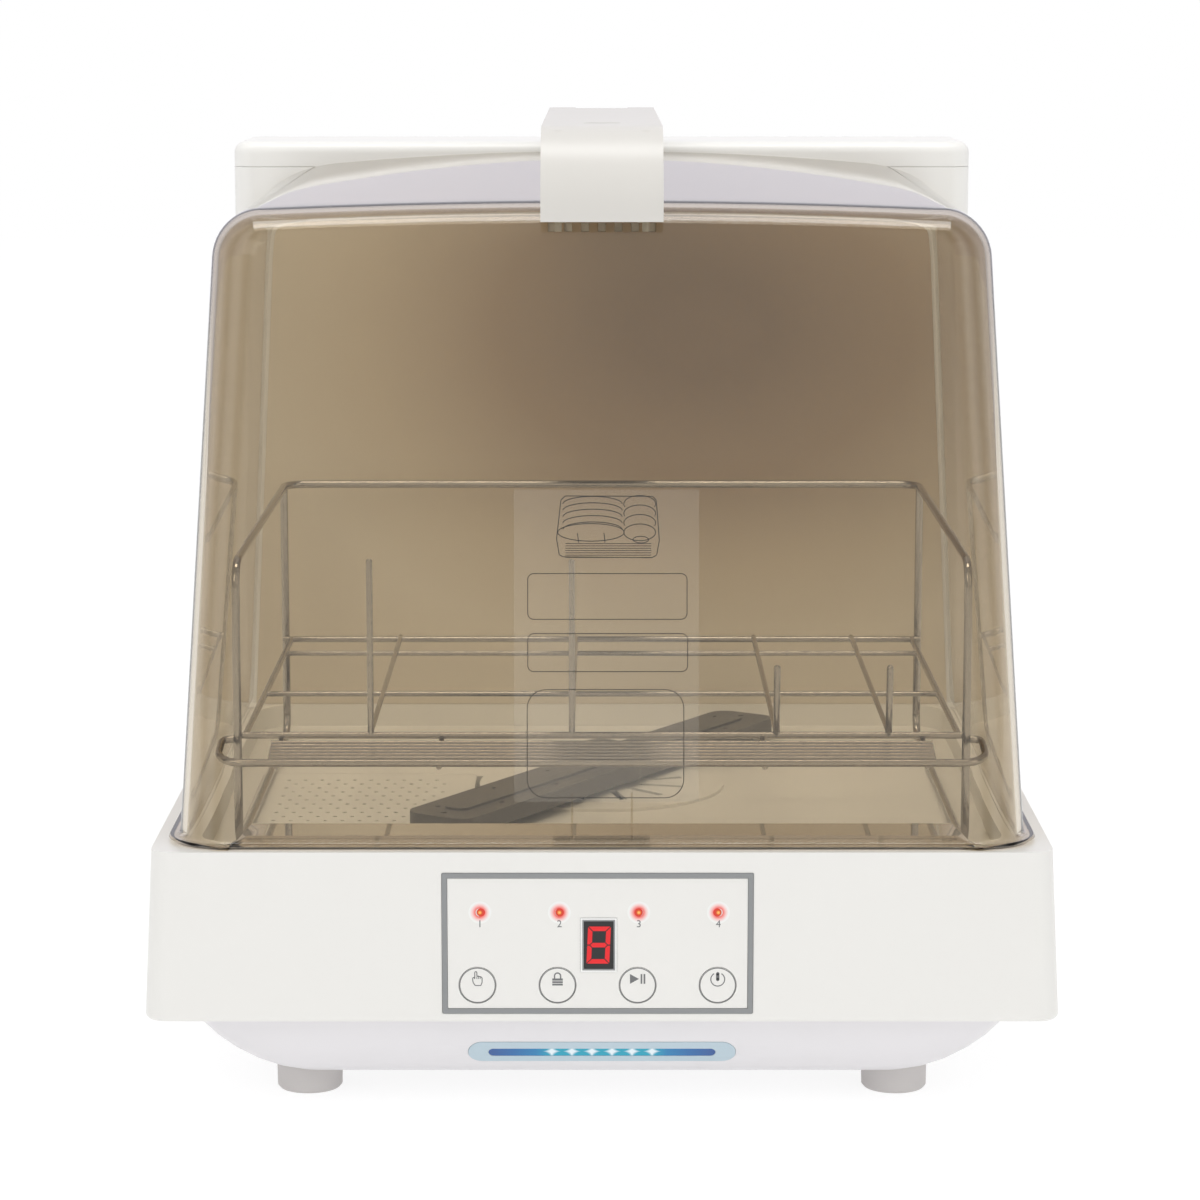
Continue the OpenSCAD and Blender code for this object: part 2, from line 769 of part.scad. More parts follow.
module control_panel() {
    w = plate_w;
    h = plate_h;
    color("white") difference() {
        union() {
            front_plate(panel_x, y_front, panel_z, w, h, 0.4, panel_t);
            // Rim behind the frame that holds the panel against the housing
            difference() {
                union() {
                    front_plate(panel_x, y_front + shell_t + 0.1, (rim_low + rim_high) / 2, panel_w + 8,
                        rim_high - rim_low, 2, rim_depth);
                    front_plate(panel_x, y_front + panel_t - eps, panel_z, w, h, 0.4,
                        shell_t - panel_t + 1);
                }
                front_plate(panel_x, y_front, panel_z, w - 2 * skirt_t, h - 2 * skirt_t, 0.4, 20);
            }
            // Pillars for the board
            for (p = pillar_spots)
                bar_y(p[0], y_front + panel_t - eps, p[1], pillar_r, board_y - y_front - panel_t - 0.05);
        }
        for (x = key_x) bar_y(x, y_front - 1, key_z, key_r + key_gap, 8);
        for (x = lamp_x) bar_y(x, y_front - 1, lamp_z, lamp_r + 0.1, 8);
        front_plate(digit_x, y_front - 1, digit_z, digit_w + 2 * bezel_band + 0.2,
            digit_h + 2 * bezel_band + 0.2, 0.2, 10);
        for (p = pillar_spots) bar_y(p[0], y_front + panel_t + 3, p[1], 1 + thread_gap, 12);
    }
}

// A key cap with its retaining collar and the plunger that reaches into its switch
module key(i) {
    color("white") {
        bar_y(key_x[i], y_front - 0.15, key_z, key_r, panel_t + 0.35);
        bar_y(key_x[i], y_front + panel_t + 0.2, key_z, collar_r, 1);
        bar_y(key_x[i], y_front + panel_t + 1.2 - eps, key_z, plunger_r,
            switch_front - y_front - panel_t + 0.3);
    }
}

module key_select() {
    key(0);
}

module key_lock() {
    key(1);
}

module key_start() {
    key(2);
}

module key_power() {
    key(3);
}

// Small push switches on the board, each with a bore for its key's plunger
module key_switches() {
    color("dimgray") for (x = key_x) difference() {
        translate([x - 3, switch_front, key_z - 3]) cube([6, switch_h, 6]);
        bar_y(x, switch_front - 1, key_z, plunger_r + running_gap, 1 + 1.5 + key_travel + 0.3);
    }
}

module digit_bezel() {
    color("gray") difference() {
        front_plate(digit_x, y_front - 0.2, digit_z, digit_w + 2 * bezel_band, digit_h + 2 * bezel_band,
            0.1, panel_t + 0.2);
        front_plate(digit_x, y_front - 2, digit_z, digit_w + 0.2, digit_h + 0.2, 0.1, 10);
    }
}

module digit_module() {
    color("black") front_plate(digit_x, y_front, digit_z, digit_w, digit_h, 0.1, board_y - y_front);
}

// One segment of the digit: a bar with pointed ends
module segment(l, w) {
    polygon([[-l / 2, 0], [-l / 2 + w / 2, w / 2], [l / 2 - w / 2, w / 2], [l / 2, 0],
        [l / 2 - w / 2, -w / 2], [-l / 2 + w / 2, -w / 2]]);
}

module digit_segments() {
    color("red") translate([digit_x, y_front, digit_z]) rotate([90, 0, 0]) linear_extrude(height = 0.12) {
        slant = tan(seg_slant);
        for (j = [-1, 0, 1]) translate([j * seg_l * slant, j * seg_l]) segment(seg_l - 0.5, seg_w);
        for (s = [-1, 1], t = [-1, 1])
            translate([s * seg_l / 2 + t * seg_l / 2 * slant, t * seg_l / 2]) rotate(90 - seg_slant)
                segment(seg_l - 0.5, seg_w);
    }
}

module mode_lamps() {
    color("orangered") for (x = lamp_x) {
        bar_y(x, y_front - 0.2, lamp_z, lamp_r, panel_t + 1.7);
        bar_y(x, y_front + panel_t + 1.5 - eps, lamp_z, lamp_r + 0.5, board_y - y_front - panel_t - 1.5);
    }
}

module control_board() {
    color("seagreen") {
        difference() {
            front_plate(panel_x, board_y, panel_z, plate_w, plate_h, 1, board_t);
            for (p = pillar_spots) bar_y(p[0], board_y - 1, p[1], 1.3, 4);
        }
        translate([panel_x + 20, board_y + board_t - eps, panel_z + 2]) cube([14, 2, 14]);
        translate([panel_x - 44, board_y + board_t - eps, panel_z - 6]) cube([22, 9, 9]);
    }
}

module board_screws() {
    color("gray") for (p = pillar_spots) {
        bar_y(p[0], board_y + board_t + 0.05, p[1], 2.2, 1.4);
        bar_y(p[0], board_y - 6, p[1], 1, 6 + board_t + 0.5);
    }
}

// Wash chamber

module filter_area(grow) {
    translate([(filter_x0 + filter_x1) / 2, (filter_y0 + filter_y1) / 2])
        round_rect(filter_x1 - filter_x0 + grow, filter_y1 - filter_y0 + grow, 6);
}

module wash_tub() {
    color("ivory") difference() {
        union() {
            translate([0, tub_y, z_floor - tub_t])
                plate(2 * (tub_half_w + tub_t), tub_d + 2 * tub_t, tub_corner_r + tub_t, tub_depth + tub_t);
            translate([0, tub_y, z_deck - rim_t])
                plate(2 * (tub_half_w + rim_w), tub_d + 2 * rim_w, tub_corner_r + rim_w, rim_t);
            // Well under the filter, with its gutter to the sump
            translate([0, 0, z_floor - well_depth - tub_t]) linear_extrude(height = well_depth)
                well_plan(tub_t);
            translate([0, hub_y, z_floor - well_depth - tub_t]) cylinder(r = sump_r + 6, h = well_depth);
            bar_y(valve_x, chamber_back, inlet_stub_z, 4.5, 10);
        }
        translate([0, tub_y, z_floor]) plate(2 * tub_half_w, tub_d, tub_corner_r, 40);
        translate([0, 0, z_floor - well_depth]) linear_extrude(height = well_depth + 1) well_plan(0);
        translate([0, 0, z_floor - filter_t]) linear_extrude(height = 10) filter_area(0.4);
        translate([0, hub_y, z_floor - 30]) cylinder(r = sump_r - 5, h = 40);
        bar_y(valve_x, chamber_back - 8, inlet_stub_z, 2.4, 20);
    }
}

// Plan of the filter's well and of the gutter that leads it to the sump
module well_plan(grow) {
    translate([filter_x0 + 8 - grow, filter_y0 + 8 - grow])
        square([filter_x1 - filter_x0 - 12 + 2 * grow, filter_y1 - filter_y0 - 16 + 2 * grow]);
    translate([filter_x1 - 8, hub_y - gutter_w / 2 - grow]) square([gutter_l, gutter_w + 2 * grow]);
}

module filter_screen() {
    nx = floor((filter_x1 - filter_x0 - 24) / hole_pitch);
    ny = floor((filter_y1 - filter_y0 - 16) / (1.1 * hole_pitch));
    color("tan") difference() {
        translate([0, 0, z_floor - filter_t]) linear_extrude(height = filter_t - 0.1) filter_area(0);
        translate([0, 0, z_floor - 5]) linear_extrude(height = 10)
            for (i = [0:nx - 1], j = [0:ny - 1])
                translate([filter_x0 + 14 + i * hole_pitch + (j % 2) * hole_pitch / 2,
                    filter_y0 + 13 + j * hole_pitch * 1.1]) circle(r = hole_r, $fn = 6);
    }
}

// Round sump cover with the spindle tube that feeds the spray arm
module hub_base() {
    color("ivory") translate([0, hub_y, 0]) difference() {
        union() {
            translate([0, 0, z_floor + 0.05]) cylinder(r = hub_disc_r, h = disc_t);
            translate([0, 0, z_floor]) cylinder(r = spindle_r + 3.5, h = disc_t + arm_lift - seat_gap);
            translate([0, 0, feed_z + 2]) cylinder(r = spindle_r + 1, h = z_floor + disc_t - feed_z - 2);
            translate([0, 0, z_floor]) cylinder(r = spindle_r, h = spindle_top - z_floor);
        }
        translate([0, 0, feed_z]) cylinder(r = spindle_r - 2.5, h = z_arm + wing_t - feed_z);
        for (a = [0, 90]) rotate(a) bar_x(-20, 0, z_arm + wing_t / 2, 1.8, 40);
        for (a = [15:30:345]) rotate(a) translate([20, -2, z_floor - 3]) cube([22, 4, 12]);
    }
}

// Spray arm: two flat wings on a hub, with slanted rows of nozzles and a raised rib
module spray_arm() {
    color("dimgray") translate([0, hub_y, 0]) rotate(arm_angle) difference() {
        union() {
            translate([0, 0, z_arm]) plate(2 * arm_reach, wing_w, 9, wing_t);
            translate([0, 0, z_arm]) cylinder(r = wing_w / 2 + 2, h = wing_t);
            translate([0, 0, z_arm]) cylinder(r = 15, h = hub_h);
            translate([0, 0, z_arm + wing_t - eps]) plate(2 * arm_reach - 30, wing_w * 0.36, 5, 1.2);
        }
        translate([0, 0, z_arm - 1]) cylinder(r = spindle_r + running_gap, h = hub_h + 2);
        // Water way inside the wings
        translate([0, 0, z_arm + 1.8]) linear_extrude(height = wing_t - 3.6)
            square([2 * arm_reach - 12, wing_w - 9], center = true);
        for (s = [-1, 1], i = [0:4])
            translate([s * (34 + 24 * i), (i % 2 == 0 ? 1 : -1) * wing_w * 0.28, z_arm + wing_t / 2])
                cylinder(r = 1.4, h = 10, $fn = 8);
        for (s = [-1, 1]) translate([s * (arm_reach - 8), 0, z_arm + wing_t / 2])
            cylinder(r = 1.6, h = 10, $fn = 8);
    }
}

module arm_cap() {
    z = z_arm + hub_h + seat_gap;
    color("silver") translate([0, hub_y, z]) difference() {
        union() {
            cylinder(r = 12.5, h = 3);
            translate([0, 0, 3 - eps]) cylinder(r1 = 11, r2 = 8.5, h = 3);
            for (a = [0:60:300]) rotate(a) translate([11, 0, 0]) cylinder(r = 3, h = 3, $fn = 24);
        }
        translate([0, 0, -1]) cylinder(r = spindle_r + thread_gap, h = spindle_top - z + 1.2);
    }
}

// Sump, heater and pumps

module sump() {
    color("ivory") translate([0, hub_y, 0]) difference() {
        union() {
            translate([0, 0, z_sump]) cylinder(r = sump_r, h = sump_depth - tub_t - well_depth - 0.1);
            translate([0, 0, z_floor - tub_t - well_depth - sump_t - 0.1])
                cylinder(r = sump_r + 6, h = sump_t);
            bar_x(-sump_r - sump_stub, 0, pump_z, stub_r, 2 * (sump_r + sump_stub));
            // Feed duct from the back to the socket under the spindle tube
            bar_y(0, 0, feed_z, outlet_r, feed_stub_y - hub_y);
        }
        difference() {
            translate([0, 0, z_sump + sump_t]) cylinder(r = sump_r - sump_t, h = sump_depth);
            bar_y(0, 0, feed_z, outlet_r, feed_stub_y - hub_y);
            translate([0, 0, feed_z - 11]) cylinder(r = spindle_r + 4, h = 23);
        }
        for (a = heater_ends) rotate(a) translate([sump_r - 8, 0, heater_z]) rotate([0, 90, 0])
            cylinder(r = heater_r + 0.2, h = 16);
        bar_x(-sump_r - 20, 0, pump_z, stub_bore, 2 * sump_r + 40);
        bar_y(0, 0, feed_z, hose_bore, feed_stub_y - hub_y + 5);
        translate([0, 0, feed_z - 8.5]) cylinder(r = spindle_r + 1.1, h = 23);
    }
}

// Ring heater on the sump's floor; its ends pass through the wall
module heater() {
    color("silver") translate([0, hub_y, heater_z]) {
        rotate(heater_ends[1]) rotate_extrude(angle = 360 + heater_ends[0] - heater_ends[1])
            translate([heater_ring, 0]) circle(r = heater_r, $fn = 24);
        for (a = heater_ends) rotate(a) translate([heater_ring, 0, 0]) rotate([0, 90, 0])
            cylinder(r = heater_r, h = sump_r - heater_ring + 5, $fn = 24);
    }
}

// Motor pump with its axis along X; side is 1 on the right and -1 on the left
module pump(x0, side, volute_r, volute_w, motor_r, motor_l) {
    translate([x0, hub_y, pump_z]) mirror([side < 0 ? 1 : 0, 0, 0]) difference() {
        union() {
            rotate([0, 90, 0]) cylinder(r = volute_r, h = volute_w);
            translate([volute_w - eps, 0, 0]) rotate([0, 90, 0]) cylinder(r = motor_r, h = motor_l);
            translate([-sump_stub, 0, 0]) rotate([0, 90, 0]) cylinder(r = stub_r, h = sump_stub + 1);
            // Outlet, tangent to the volute and pointing back
            translate([volute_w / 2, 0, volute_r - outlet_r]) rotate([-90, 0, 0])
                cylinder(r = outlet_r, h = volute_r + hose_lap);
        }
        translate([3, 0, 0]) rotate([0, 90, 0]) cylinder(r = volute_r - 3, h = volute_w - 6);
        translate([-20, 0, 0]) rotate([0, 90, 0]) cylinder(r = stub_bore, h = 25);
        translate([volute_w / 2, 0, volute_r - outlet_r]) rotate([-90, 0, 0])
            cylinder(r = outlet_r - 3, h = volute_r + hose_lap + 5);
        rotate([0, 90, 0]) cylinder(r = shaft_r + running_gap, h = volute_w + motor_l - 6);
    }
}

module impeller(x0, side, volute_r, volute_w, shaft_l) {
    translate([x0, hub_y, pump_z]) mirror([side < 0 ? 1 : 0, 0, 0]) rotate([0, 90, 0]) {
        translate([0, 0, volute_w - 3 - 4.5]) cylinder(r = volute_r - 9, h = 2.5);
        for (a = [0:60:300]) rotate(a)
            translate([5, -0.8, volute_w - 3 - 11]) cube([volute_r - 9 - 6.5, 1.6, 7]);
        translate([0, 0, volute_w - 3 - 12]) cylinder(r = 6, h = 8);
        translate([0, 0, volute_w - 8]) cylinder(r = shaft_r, h = shaft_l);
    }
}

module wash_pump() {
    color("dimgray") pump(pump_x, 1, wash_volute_r, wash_volute_w, wash_motor_r, wash_motor_l);
}

module drain_pump() {
    color("dimgray") pump(-pump_x, -1, drain_volute_r, drain_volute_w, drain_motor_r, drain_motor_l);
}

module wash_impeller() {
    color("lightgray") impeller(pump_x, 1, wash_volute_r, wash_volute_w, wash_motor_l - 1);
}

module drain_impeller() {
    color("lightgray") impeller(-pump_x, -1, drain_volute_r, drain_volute_w, drain_motor_l - 1);
}

// Rubber sleeves that join the sump's stubs to the pumps
module pump_sleeves() {
    l = 2 * sump_stub + stub_gap - 10;
    color("black") for (side = [-1, 1]) translate([side * (sump_r + 5 + l / 2) - l / 2, hub_y, pump_z])
        difference() {
            rotate([0, 90, 0]) cylinder(r = stub_r + 2.5, h = l);
            translate([-1, 0, 0]) rotate([0, 90, 0]) cylinder(r = stub_r + 0.1, h = l + 2);
        }
}

// Hose from the wash pump round to the feed duct at the back of the sump
module feed_hose() {
    route = [[feed_hose_x, feed_hose_y0, feed_z], [feed_hose_x, feed_turn_y, feed_z],
        [0, feed_turn_y, feed_z], [0, feed_hose_y1, feed_z]];
    color("dimgray") difference() {
        wire(route, hose_r, same_bends(route, hose_bend));
        wire(route, hose_bore, same_bends(route, hose_bend));
        bar_y(feed_hose_x, feed_hose_y0 - 1, feed_z, outlet_r + 0.1, hose_lap + 0.7);
        bar_y(0, feed_hose_y1 - 1, feed_z, outlet_r + 0.1, hose_lap + 1.2);
    }
}

// Straight drain hose from the drain pump to the spout at the back
module drain_hose() {
    y0 = hub_y + drain_volute_r + 0.5;
    y1 = spout_back - shell_t - 0.5;
    color("dimgray") difference() {
        bar_y(spout_x, y0, spout_z, hose_r, y1 - y0);
        bar_y(spout_x, y0 - 1, spout_z, hose_bore, y1 - y0 + 2);
        bar_y(spout_x, y0 - 1, spout_z, outlet_r + 0.1, hose_lap + 0.7);
        bar_y(spout_x, y1 - hose_lap - 1, spout_z, spout_in_r + 0.1, hose_lap + 2);
    }
}

// Barbed spout in the pocket at the back, for the outside drain hose
module drain_spout() {
    color("gainsboro") translate([spout_x, spout_back, spout_z]) rotate([-90, 0, 0]) difference() {
        union() {
            translate([0, 0, -shell_t - hose_lap]) cylinder(r = spout_in_r, h = shell_t + hose_lap + 1);
            translate([0, 0, 0.5]) cylinder(r = spout_r, h = spout_l - 1.5);
            translate([0, 0, 0.1]) cylinder(r = 13, h = 2.4);
            translate([0, 0, spout_l - 1]) cylinder(r1 = spout_r, r2 = spout_r - 0.8, h = 1);
        }
        translate([0, 0, -30]) cylinder(r = 5.5, h = 80);
    }
}

// Electric valve under the tank's outlet, with its coil at the back and its nipple at the front
module fill_valve() {
    color("gainsboro") difference() {
        union() {
            translate([valve_x, tank_pipe_y, z_floor - 22])
                cylinder(r = valve_r, h = z_deck - shell_t - 1 - z_floor + 22);
            bar_y(valve_x, tank_pipe_y - valve_r - 13, inlet_stub_z, 4.5, 16);
            bar_y(valve_x, tank_pipe_y, z_floor - 10, 11, 26);
        }
        translate([valve_x, tank_pipe_y, z_floor - 19]) cylinder(r = pipe_r + 0.2, h = 60);
        bar_y(valve_x, tank_pipe_y - valve_r - 20, inlet_stub_z, 2.4, 30);
    }
}

// Short hose from the valve to the tub's inlet
module fill_hose() {
    y0 = chamber_back + tub_t + 0.5;
    y1 = tank_pipe_y - valve_r - 1;
    color("black") difference() {
        bar_y(valve_x, y0, inlet_stub_z, 6, y1 - y0);
        bar_y(valve_x, y0 - 1, inlet_stub_z, 4.6, y1 - y0 + 2);
    }
}

// Power board on four posts over the pan's flat floor
module power_board() {
    post = 8;
    w = 88;
    d = 58;
    color("seagreen") translate([24, y_rear - d - 51.5, z_pan + shell_t + post]) {
        cube([w, d, 1.6]);
        translate([8, 8, 1.6]) cube([28, 34, 24]);
        translate([46, 12, 1.6]) cube([18, 22, 15]);
        translate([76, 34, 1.6]) cylinder(r = 8, h = 22);
        translate([60, 46, 1.6]) cylinder(r = 6, h = 18);
        for (x = [5, w - 5], y = [5, d - 5]) translate([x, y, -post]) cylinder(r = 3, h = post + 0.2);
    }
}

// Appliance inlet for a plug-in lead, set in the back wall
module mains_inlet() {
    color("black") translate([inlet_x, y_rear, inlet_z]) {
        difference() {
            translate([-inlet_w / 2, -inlet_d, -inlet_h / 2]) cube([inlet_w, inlet_d, inlet_h]);
            translate([-12, 6 - inlet_d, -8.5]) cube([24, inlet_d, 17]);
        }
        for (x = [-7, 0, 7]) translate([x - 1, 4 - inlet_d, x == 0 ? 0 : -4]) cube([2, 15, 4]);
    }
}

// Back wall of the chamber, inside the cover

// Half of the panel's outline, from the foot to the middle of its arched top
function back_outline() = let (
    low = cover_half(z_deck) - cover_t - back_gap,
    shoulder_z = z_arch - arch_drop - cover_r,
    high = cover_half(shoulder_z) - cover_t - back_gap,
    r = cover_r - cover_t - back_gap,
    rise = arch_drop - 4)
    concat([[low, z_deck + 0.1]],
        [for (a = [0:15:75]) [high - r + r * cos(a), shoulder_z + r * sin(a)]],
        [for (t = [0.8:-0.2:0]) [t * (high - r), shoulder_z + r + rise * (1 - t * t)]]);

module back_panel() {
    half = back_outline();
    n = len(half);
    whole = concat(half, [for (i = [n - 2:-1:0]) [-half[i][0], half[i][1]]]);
    color("tan") translate([0, chamber_back + 0.6 + back_panel_t, 0]) rotate([90, 0, 0])
        linear_extrude(height = back_panel_t) difference() {
            polygon(whole);
            // Overflow slots near the top
            for (i = [-3:3]) translate([i * 9 - 2, z_arch - 36]) square([4, 10]);
        }
}

// Tank at the back, with its lid, float and level stem

module tank_body() {
    color("white") difference() {
        union() {
            translate([0, tank_y, z_deck + 0.05])
                plate(tank_w, tank_d, tank_corner_r, z_tank - z_deck - 0.05);
            translate([valve_x, tank_pipe_y, z_floor - 14]) cylinder(r = pipe_r, h = tub_depth + 15);
            // Hooks that hold the tank down on the deck
            for (x = hook_x) translate([x - hook_w / 2, hook_y, z_deck - shell_t - 4]) {
                cube([hook_w, hook_t, shell_t + 5]);
                cube([hook_w, hook_t + 2, 3.7]);
            }
        }
        difference() {
            translate([0, tank_y, z_deck + 3])
                plate(tank_w - 2 * tank_t, tank_d - 2 * tank_t, tank_corner_r - tank_t,
                    z_tank - z_deck - 3 - tank_roof_t);
            // Column of wall under the hinge
            translate([-bridge_w / 2, tank_front - 1, z_tank - 40]) cube([bridge_w, 5 + tank_t, 60]);
        }
        // Filling openings on both sides of the hinge
        for (s = [-1, 1]) translate([s * fill_x, tank_y, z_tank - 10]) plate(fill_w, fill_d, 8, 20);
        translate([valve_x, tank_pipe_y, z_floor - 20]) cylinder(r = 5, h = 60);
        for (p = bracket_spots) translate([p[0], p[1], z_tank - 5])
            cylinder(r = screw_r + thread_gap, h = 10);
    }
}

module lid_form(inset, top) {
    hull() for (sx = [-1, 1], sy = [-1, 1]) translate([sx * (tank_w / 2 - tank_corner_r),
        tank_y + sy * (tank_d / 2 - tank_corner_r), 0]) {
        translate([0, 0, z_tank + 0.1 - (inset > 0 ? 5 : 0)])
            cylinder(r = tank_corner_r - inset, h = 1, $fn = hull_fn);
        translate([0, 0, top - lid_edge_r]) rotate_extrude($fn = hull_fn)
            translate([tank_corner_r - lid_edge_r, 0]) circle(r = lid_edge_r - inset, $fn = hull_fn);
    }
}

module tank_lid() {
    color("white") difference() {
        union() {
            difference() {
                lid_form(0, z_lid);
                difference() {
                    lid_form(tank_t, z_lid);
                    // Walls round the notch
                    translate([-notch_w / 2 - tank_t, tank_front - 1, z_tank - 9])
                        cube([notch_w + 2 * tank_t, notch_d + 1 + tank_t, 40]);
                }
            }
            // Lips that drop into the filling openings
            for (s = [-1, 1]) translate([s * fill_x, tank_y, z_tank - 6]) difference() {
                plate(fill_w - 1, fill_d - 1, 7.5, lid_h + 4);
                translate([0, 0, -1]) plate(fill_w - 5, fill_d - 5, 5.5, 40);
            }
        }
        translate([-notch_w / 2, tank_front - 5, z_tank - 10]) cube([notch_w, notch_d + 5, 40]);
    }
}

module float_stem() {
    color("gainsboro") translate([stem_x, tank_y, z_deck + 3.05]) {
        cylinder(r = stem_foot_r, h = stem_foot_t);
        cylinder(r = stem_r, h = stem_len);
        translate([0, 0, stem_len]) cylinder(r = 6.5, h = 2);
    }
}

module tank_float() {
    color("orange") translate([stem_x, tank_y, z_deck + 3.05 + stem_foot_t + 0.1]) difference() {
        cylinder(r = 12, h = float_h);
        translate([0, 0, -1]) cylinder(r = stem_r + running_gap, h = float_h + 2);
    }
}

// Hinge

module hinge_bracket() {
    neck_w = knuckle_w;
    color("lightgray") difference() {
        union() {
            translate([-bracket_w / 2, tank_front + 1, z_tank + 0.05])
                cube([bracket_w, bracket_w / 2, bracket_t]);
            // Neck that rises behind the cover's edge and leans forward to the axis
            translate([neck_w / 2, 0, 0]) rotate([0, -90, 0]) linear_extrude(height = neck_w)
                polygon([[z_tank + 0.05, tank_front + 1], [z_tank + 0.05, tank_front + 20],
                    [hinge_z + 4, hinge_y + knuckle_r - 1], [hinge_z + knuckle_r * 0.6, hinge_y],
                    [hinge_z, hinge_y], [hinge_z - knuckle_r * 0.9, hinge_y + 4]]);
            bar_x(-neck_w / 2, hinge_y, hinge_z, knuckle_r, neck_w);
        }
        bar_x(-neck_w, hinge_y, hinge_z, hinge_pin_r + running_gap, 2 * neck_w);
        for (p = bracket_spots) translate([p[0], p[1], z_tank - 1]) cylinder(r = 1.7, h = 10);
    }
}

module bracket_screws() {
    color("gray") for (p = bracket_spots) translate([p[0], p[1], 0]) {
        translate([0, 0, z_tank - 3]) cylinder(r = screw_r, h = bracket_t + 4);
        translate([0, 0, z_tank + bracket_t + 0.1]) cylinder(r = screw_head_r, h = 1.8);
    }
}

module hinge_pin() {
    l = handle_w - 2;
    color("silver") bar_x(-l / 2, hinge_y, hinge_z, hinge_pin_r, l);
}

module reed_switch() {
    color("dimgray") translate([15, tank_front + 9.5, z_tank + bracket_t + 0.1]) cube([10, 7, 5]);
}

// Cover

// Outer form of the cover drawn in by inset; down and back lengthen it for the hollow
module cover_form(inset, down, back) {
    r = cover_r - inset;
    half_arch = cover_rear_w / 2 - cover_r;
    half_brow = cover_top_w / 2 - cover_r;
    arch_steps = 4;
    hull() {
        for (s = [-1, 1]) {
            translate([s * (cover_w / 2 - foot_corner_r), cover_front + foot_corner_r, z_cover - down])
                cylinder(r = foot_corner_r - inset, h = eps, $fn = 48);
            translate([s * (cover_w / 2 - foot_corner_r), cover_rear - 1 + back, z_cover - down])
                rotate([-90, 0, 0]) translate([0, -eps / 2, 0])
                linear_extrude(height = 1) square([2 * (foot_corner_r - inset), eps], center = true);
            translate([s * half_brow, brow_y, z_brow - brow_drop - cover_r]) sphere(r = r, $fn = 40);
            translate([s * half_brow / 2, brow_y, z_brow - brow_drop / 4 - cover_r])
                sphere(r = r, $fn = 40);
        }
        translate([0, brow_y, z_brow - cover_r]) sphere(r = r, $fn = 40);
        for (i = [-arch_steps:arch_steps]) {
            t = i / arch_steps;
            translate([t * half_arch, cover_rear - 1 + back, z_arch - arch_drop * t * t - cover_r])
                rotate([-90, 0, 0]) cylinder(r = r, h = 1, $fn = 40);
        }
    }
}

module cover_flange() {
    depth = cover_rear - flange_front;
    difference() {
        translate([0, cover_rear - depth / 2 + foot_corner_r / 2, z_cover])
            plate(2 * flange_half_w, depth + foot_corner_r, foot_corner_r, flange_t);
        translate([-base_w, cover_rear, z_cover - 5]) cube([2 * base_w, 60, 30]);
    }
}

// Two upright ribs at the foot of the front wall, on its inside
module front_ribs() {
    for (x = [-13.6, 13.6]) translate([x - 0.5, cover_front + cover_t - 0.4, z_cover])
        rotate([-lean_angle, 0, 0]) cube([1, 2.2, 22]);
}

module cover_shell() {
    color("rosybrown", 0.5) difference() {
        union() {
            difference() {
                union() {
                    cover_form(0, 0, 0);
                    cover_flange();
                }
                cover_form(cover_t, 3, 3);
            }
            front_ribs();
        }
        for (p = stud_spots) translate([p[0], p[1], z_brow - 20]) cylinder(r = stud_r + 0.2, h = 60);
    }
}

// Side profile of the cover's middle, grown by gap and run on past its back edge
module cover_profile(gap) {
    r = cover_r + gap;
    low = z_brow - 150;
    translate(roof_front) circle(r = r, $fn = 64);
    polygon([roof_front + roof_up * r, roof_back + roof_way * 60 + roof_up * r, [roof_back[0] + 60, low],
        [roof_front[0] - r, low], roof_front + [-r, 0]]);
}

// Side profile of the handle arm: a barrel, a flat top, a round brow and a lip
module handle_profile(inset) {
    translate([hinge_y, hinge_z]) circle(r = barrel_r - inset, $fn = 64);
    translate([bend_y, z_handle - brow_bend_r]) circle(r = brow_bend_r - inset, $fn = 96);
    translate([bend_y, z_arch - 30]) square([hinge_y - bend_y, z_handle - inset - z_arch + 30]);
    translate([handle_front + inset, lip_z]) square([brow_bend_r, z_handle - brow_bend_r - lip_z]);
}

// Runs a side profile across the machine, w wide and centred
module across(w) {
    translate([w / 2, 0, 0]) rotate([90, 0, -90]) mirror([1, 0, 0]) linear_extrude(height = w) children();
}

module handle_arm() {
    color("ivory") difference() {
        union() {
            difference() {
                across(handle_w) handle_profile(0);
                // Hollow under the top, with cross ribs, closed at the barrel and at the brow
                difference() {
                    across(handle_w - 2 * arm_wall) handle_profile(arm_wall);
                    translate([-50, hinge_y - barrel_r - 8, z_arch - 60]) cube([100, 60, 100]);
                    translate([-50, handle_front - 5, z_arch - 60]) cube([100, 21, 100]);
                    for (i = [1:5]) translate([-50, bend_y + i * 42, z_arch - 60]) cube([100, 1.8, 100]);
                }
            }
            // Bosses of the studs and of the magnet
            for (p = stud_spots) translate([p[0], p[1], z_brow - 20])
                cylinder(r = 4.5, h = z_handle - z_brow + 18);
            translate([magnet_x - 6, magnet_y - 7, z_arch - 2]) cube([12, 14, z_handle - z_arch]);
        }
        across(handle_w + 10) cover_profile(seat_gap);
        // Clear of the fixed knuckle
        translate([-knuckle_w / 2 - ear_gap, hinge_y - barrel_r - 2, hinge_z - 30])
            cube([knuckle_w + 2 * ear_gap, 60, 60]);
        bar_x(-handle_w, hinge_y, hinge_z, hinge_pin_r + 0.03, 2 * handle_w);
        for (p = stud_spots) translate([p[0], p[1], z_brow - 20])
            cylinder(r = stud_r + 0.03, h = stud_top - z_brow + 20.3);
        translate([magnet_x - 4.1, magnet_y - 5.1, z_arch - 6]) cube([8.2, 10.2, 12.1]);
        // Shallow oval thumb mark on the top
        translate([0, handle_front + 68, z_handle - 0.5]) linear_extrude(height = 5) stadium(18, 8);
    }
}

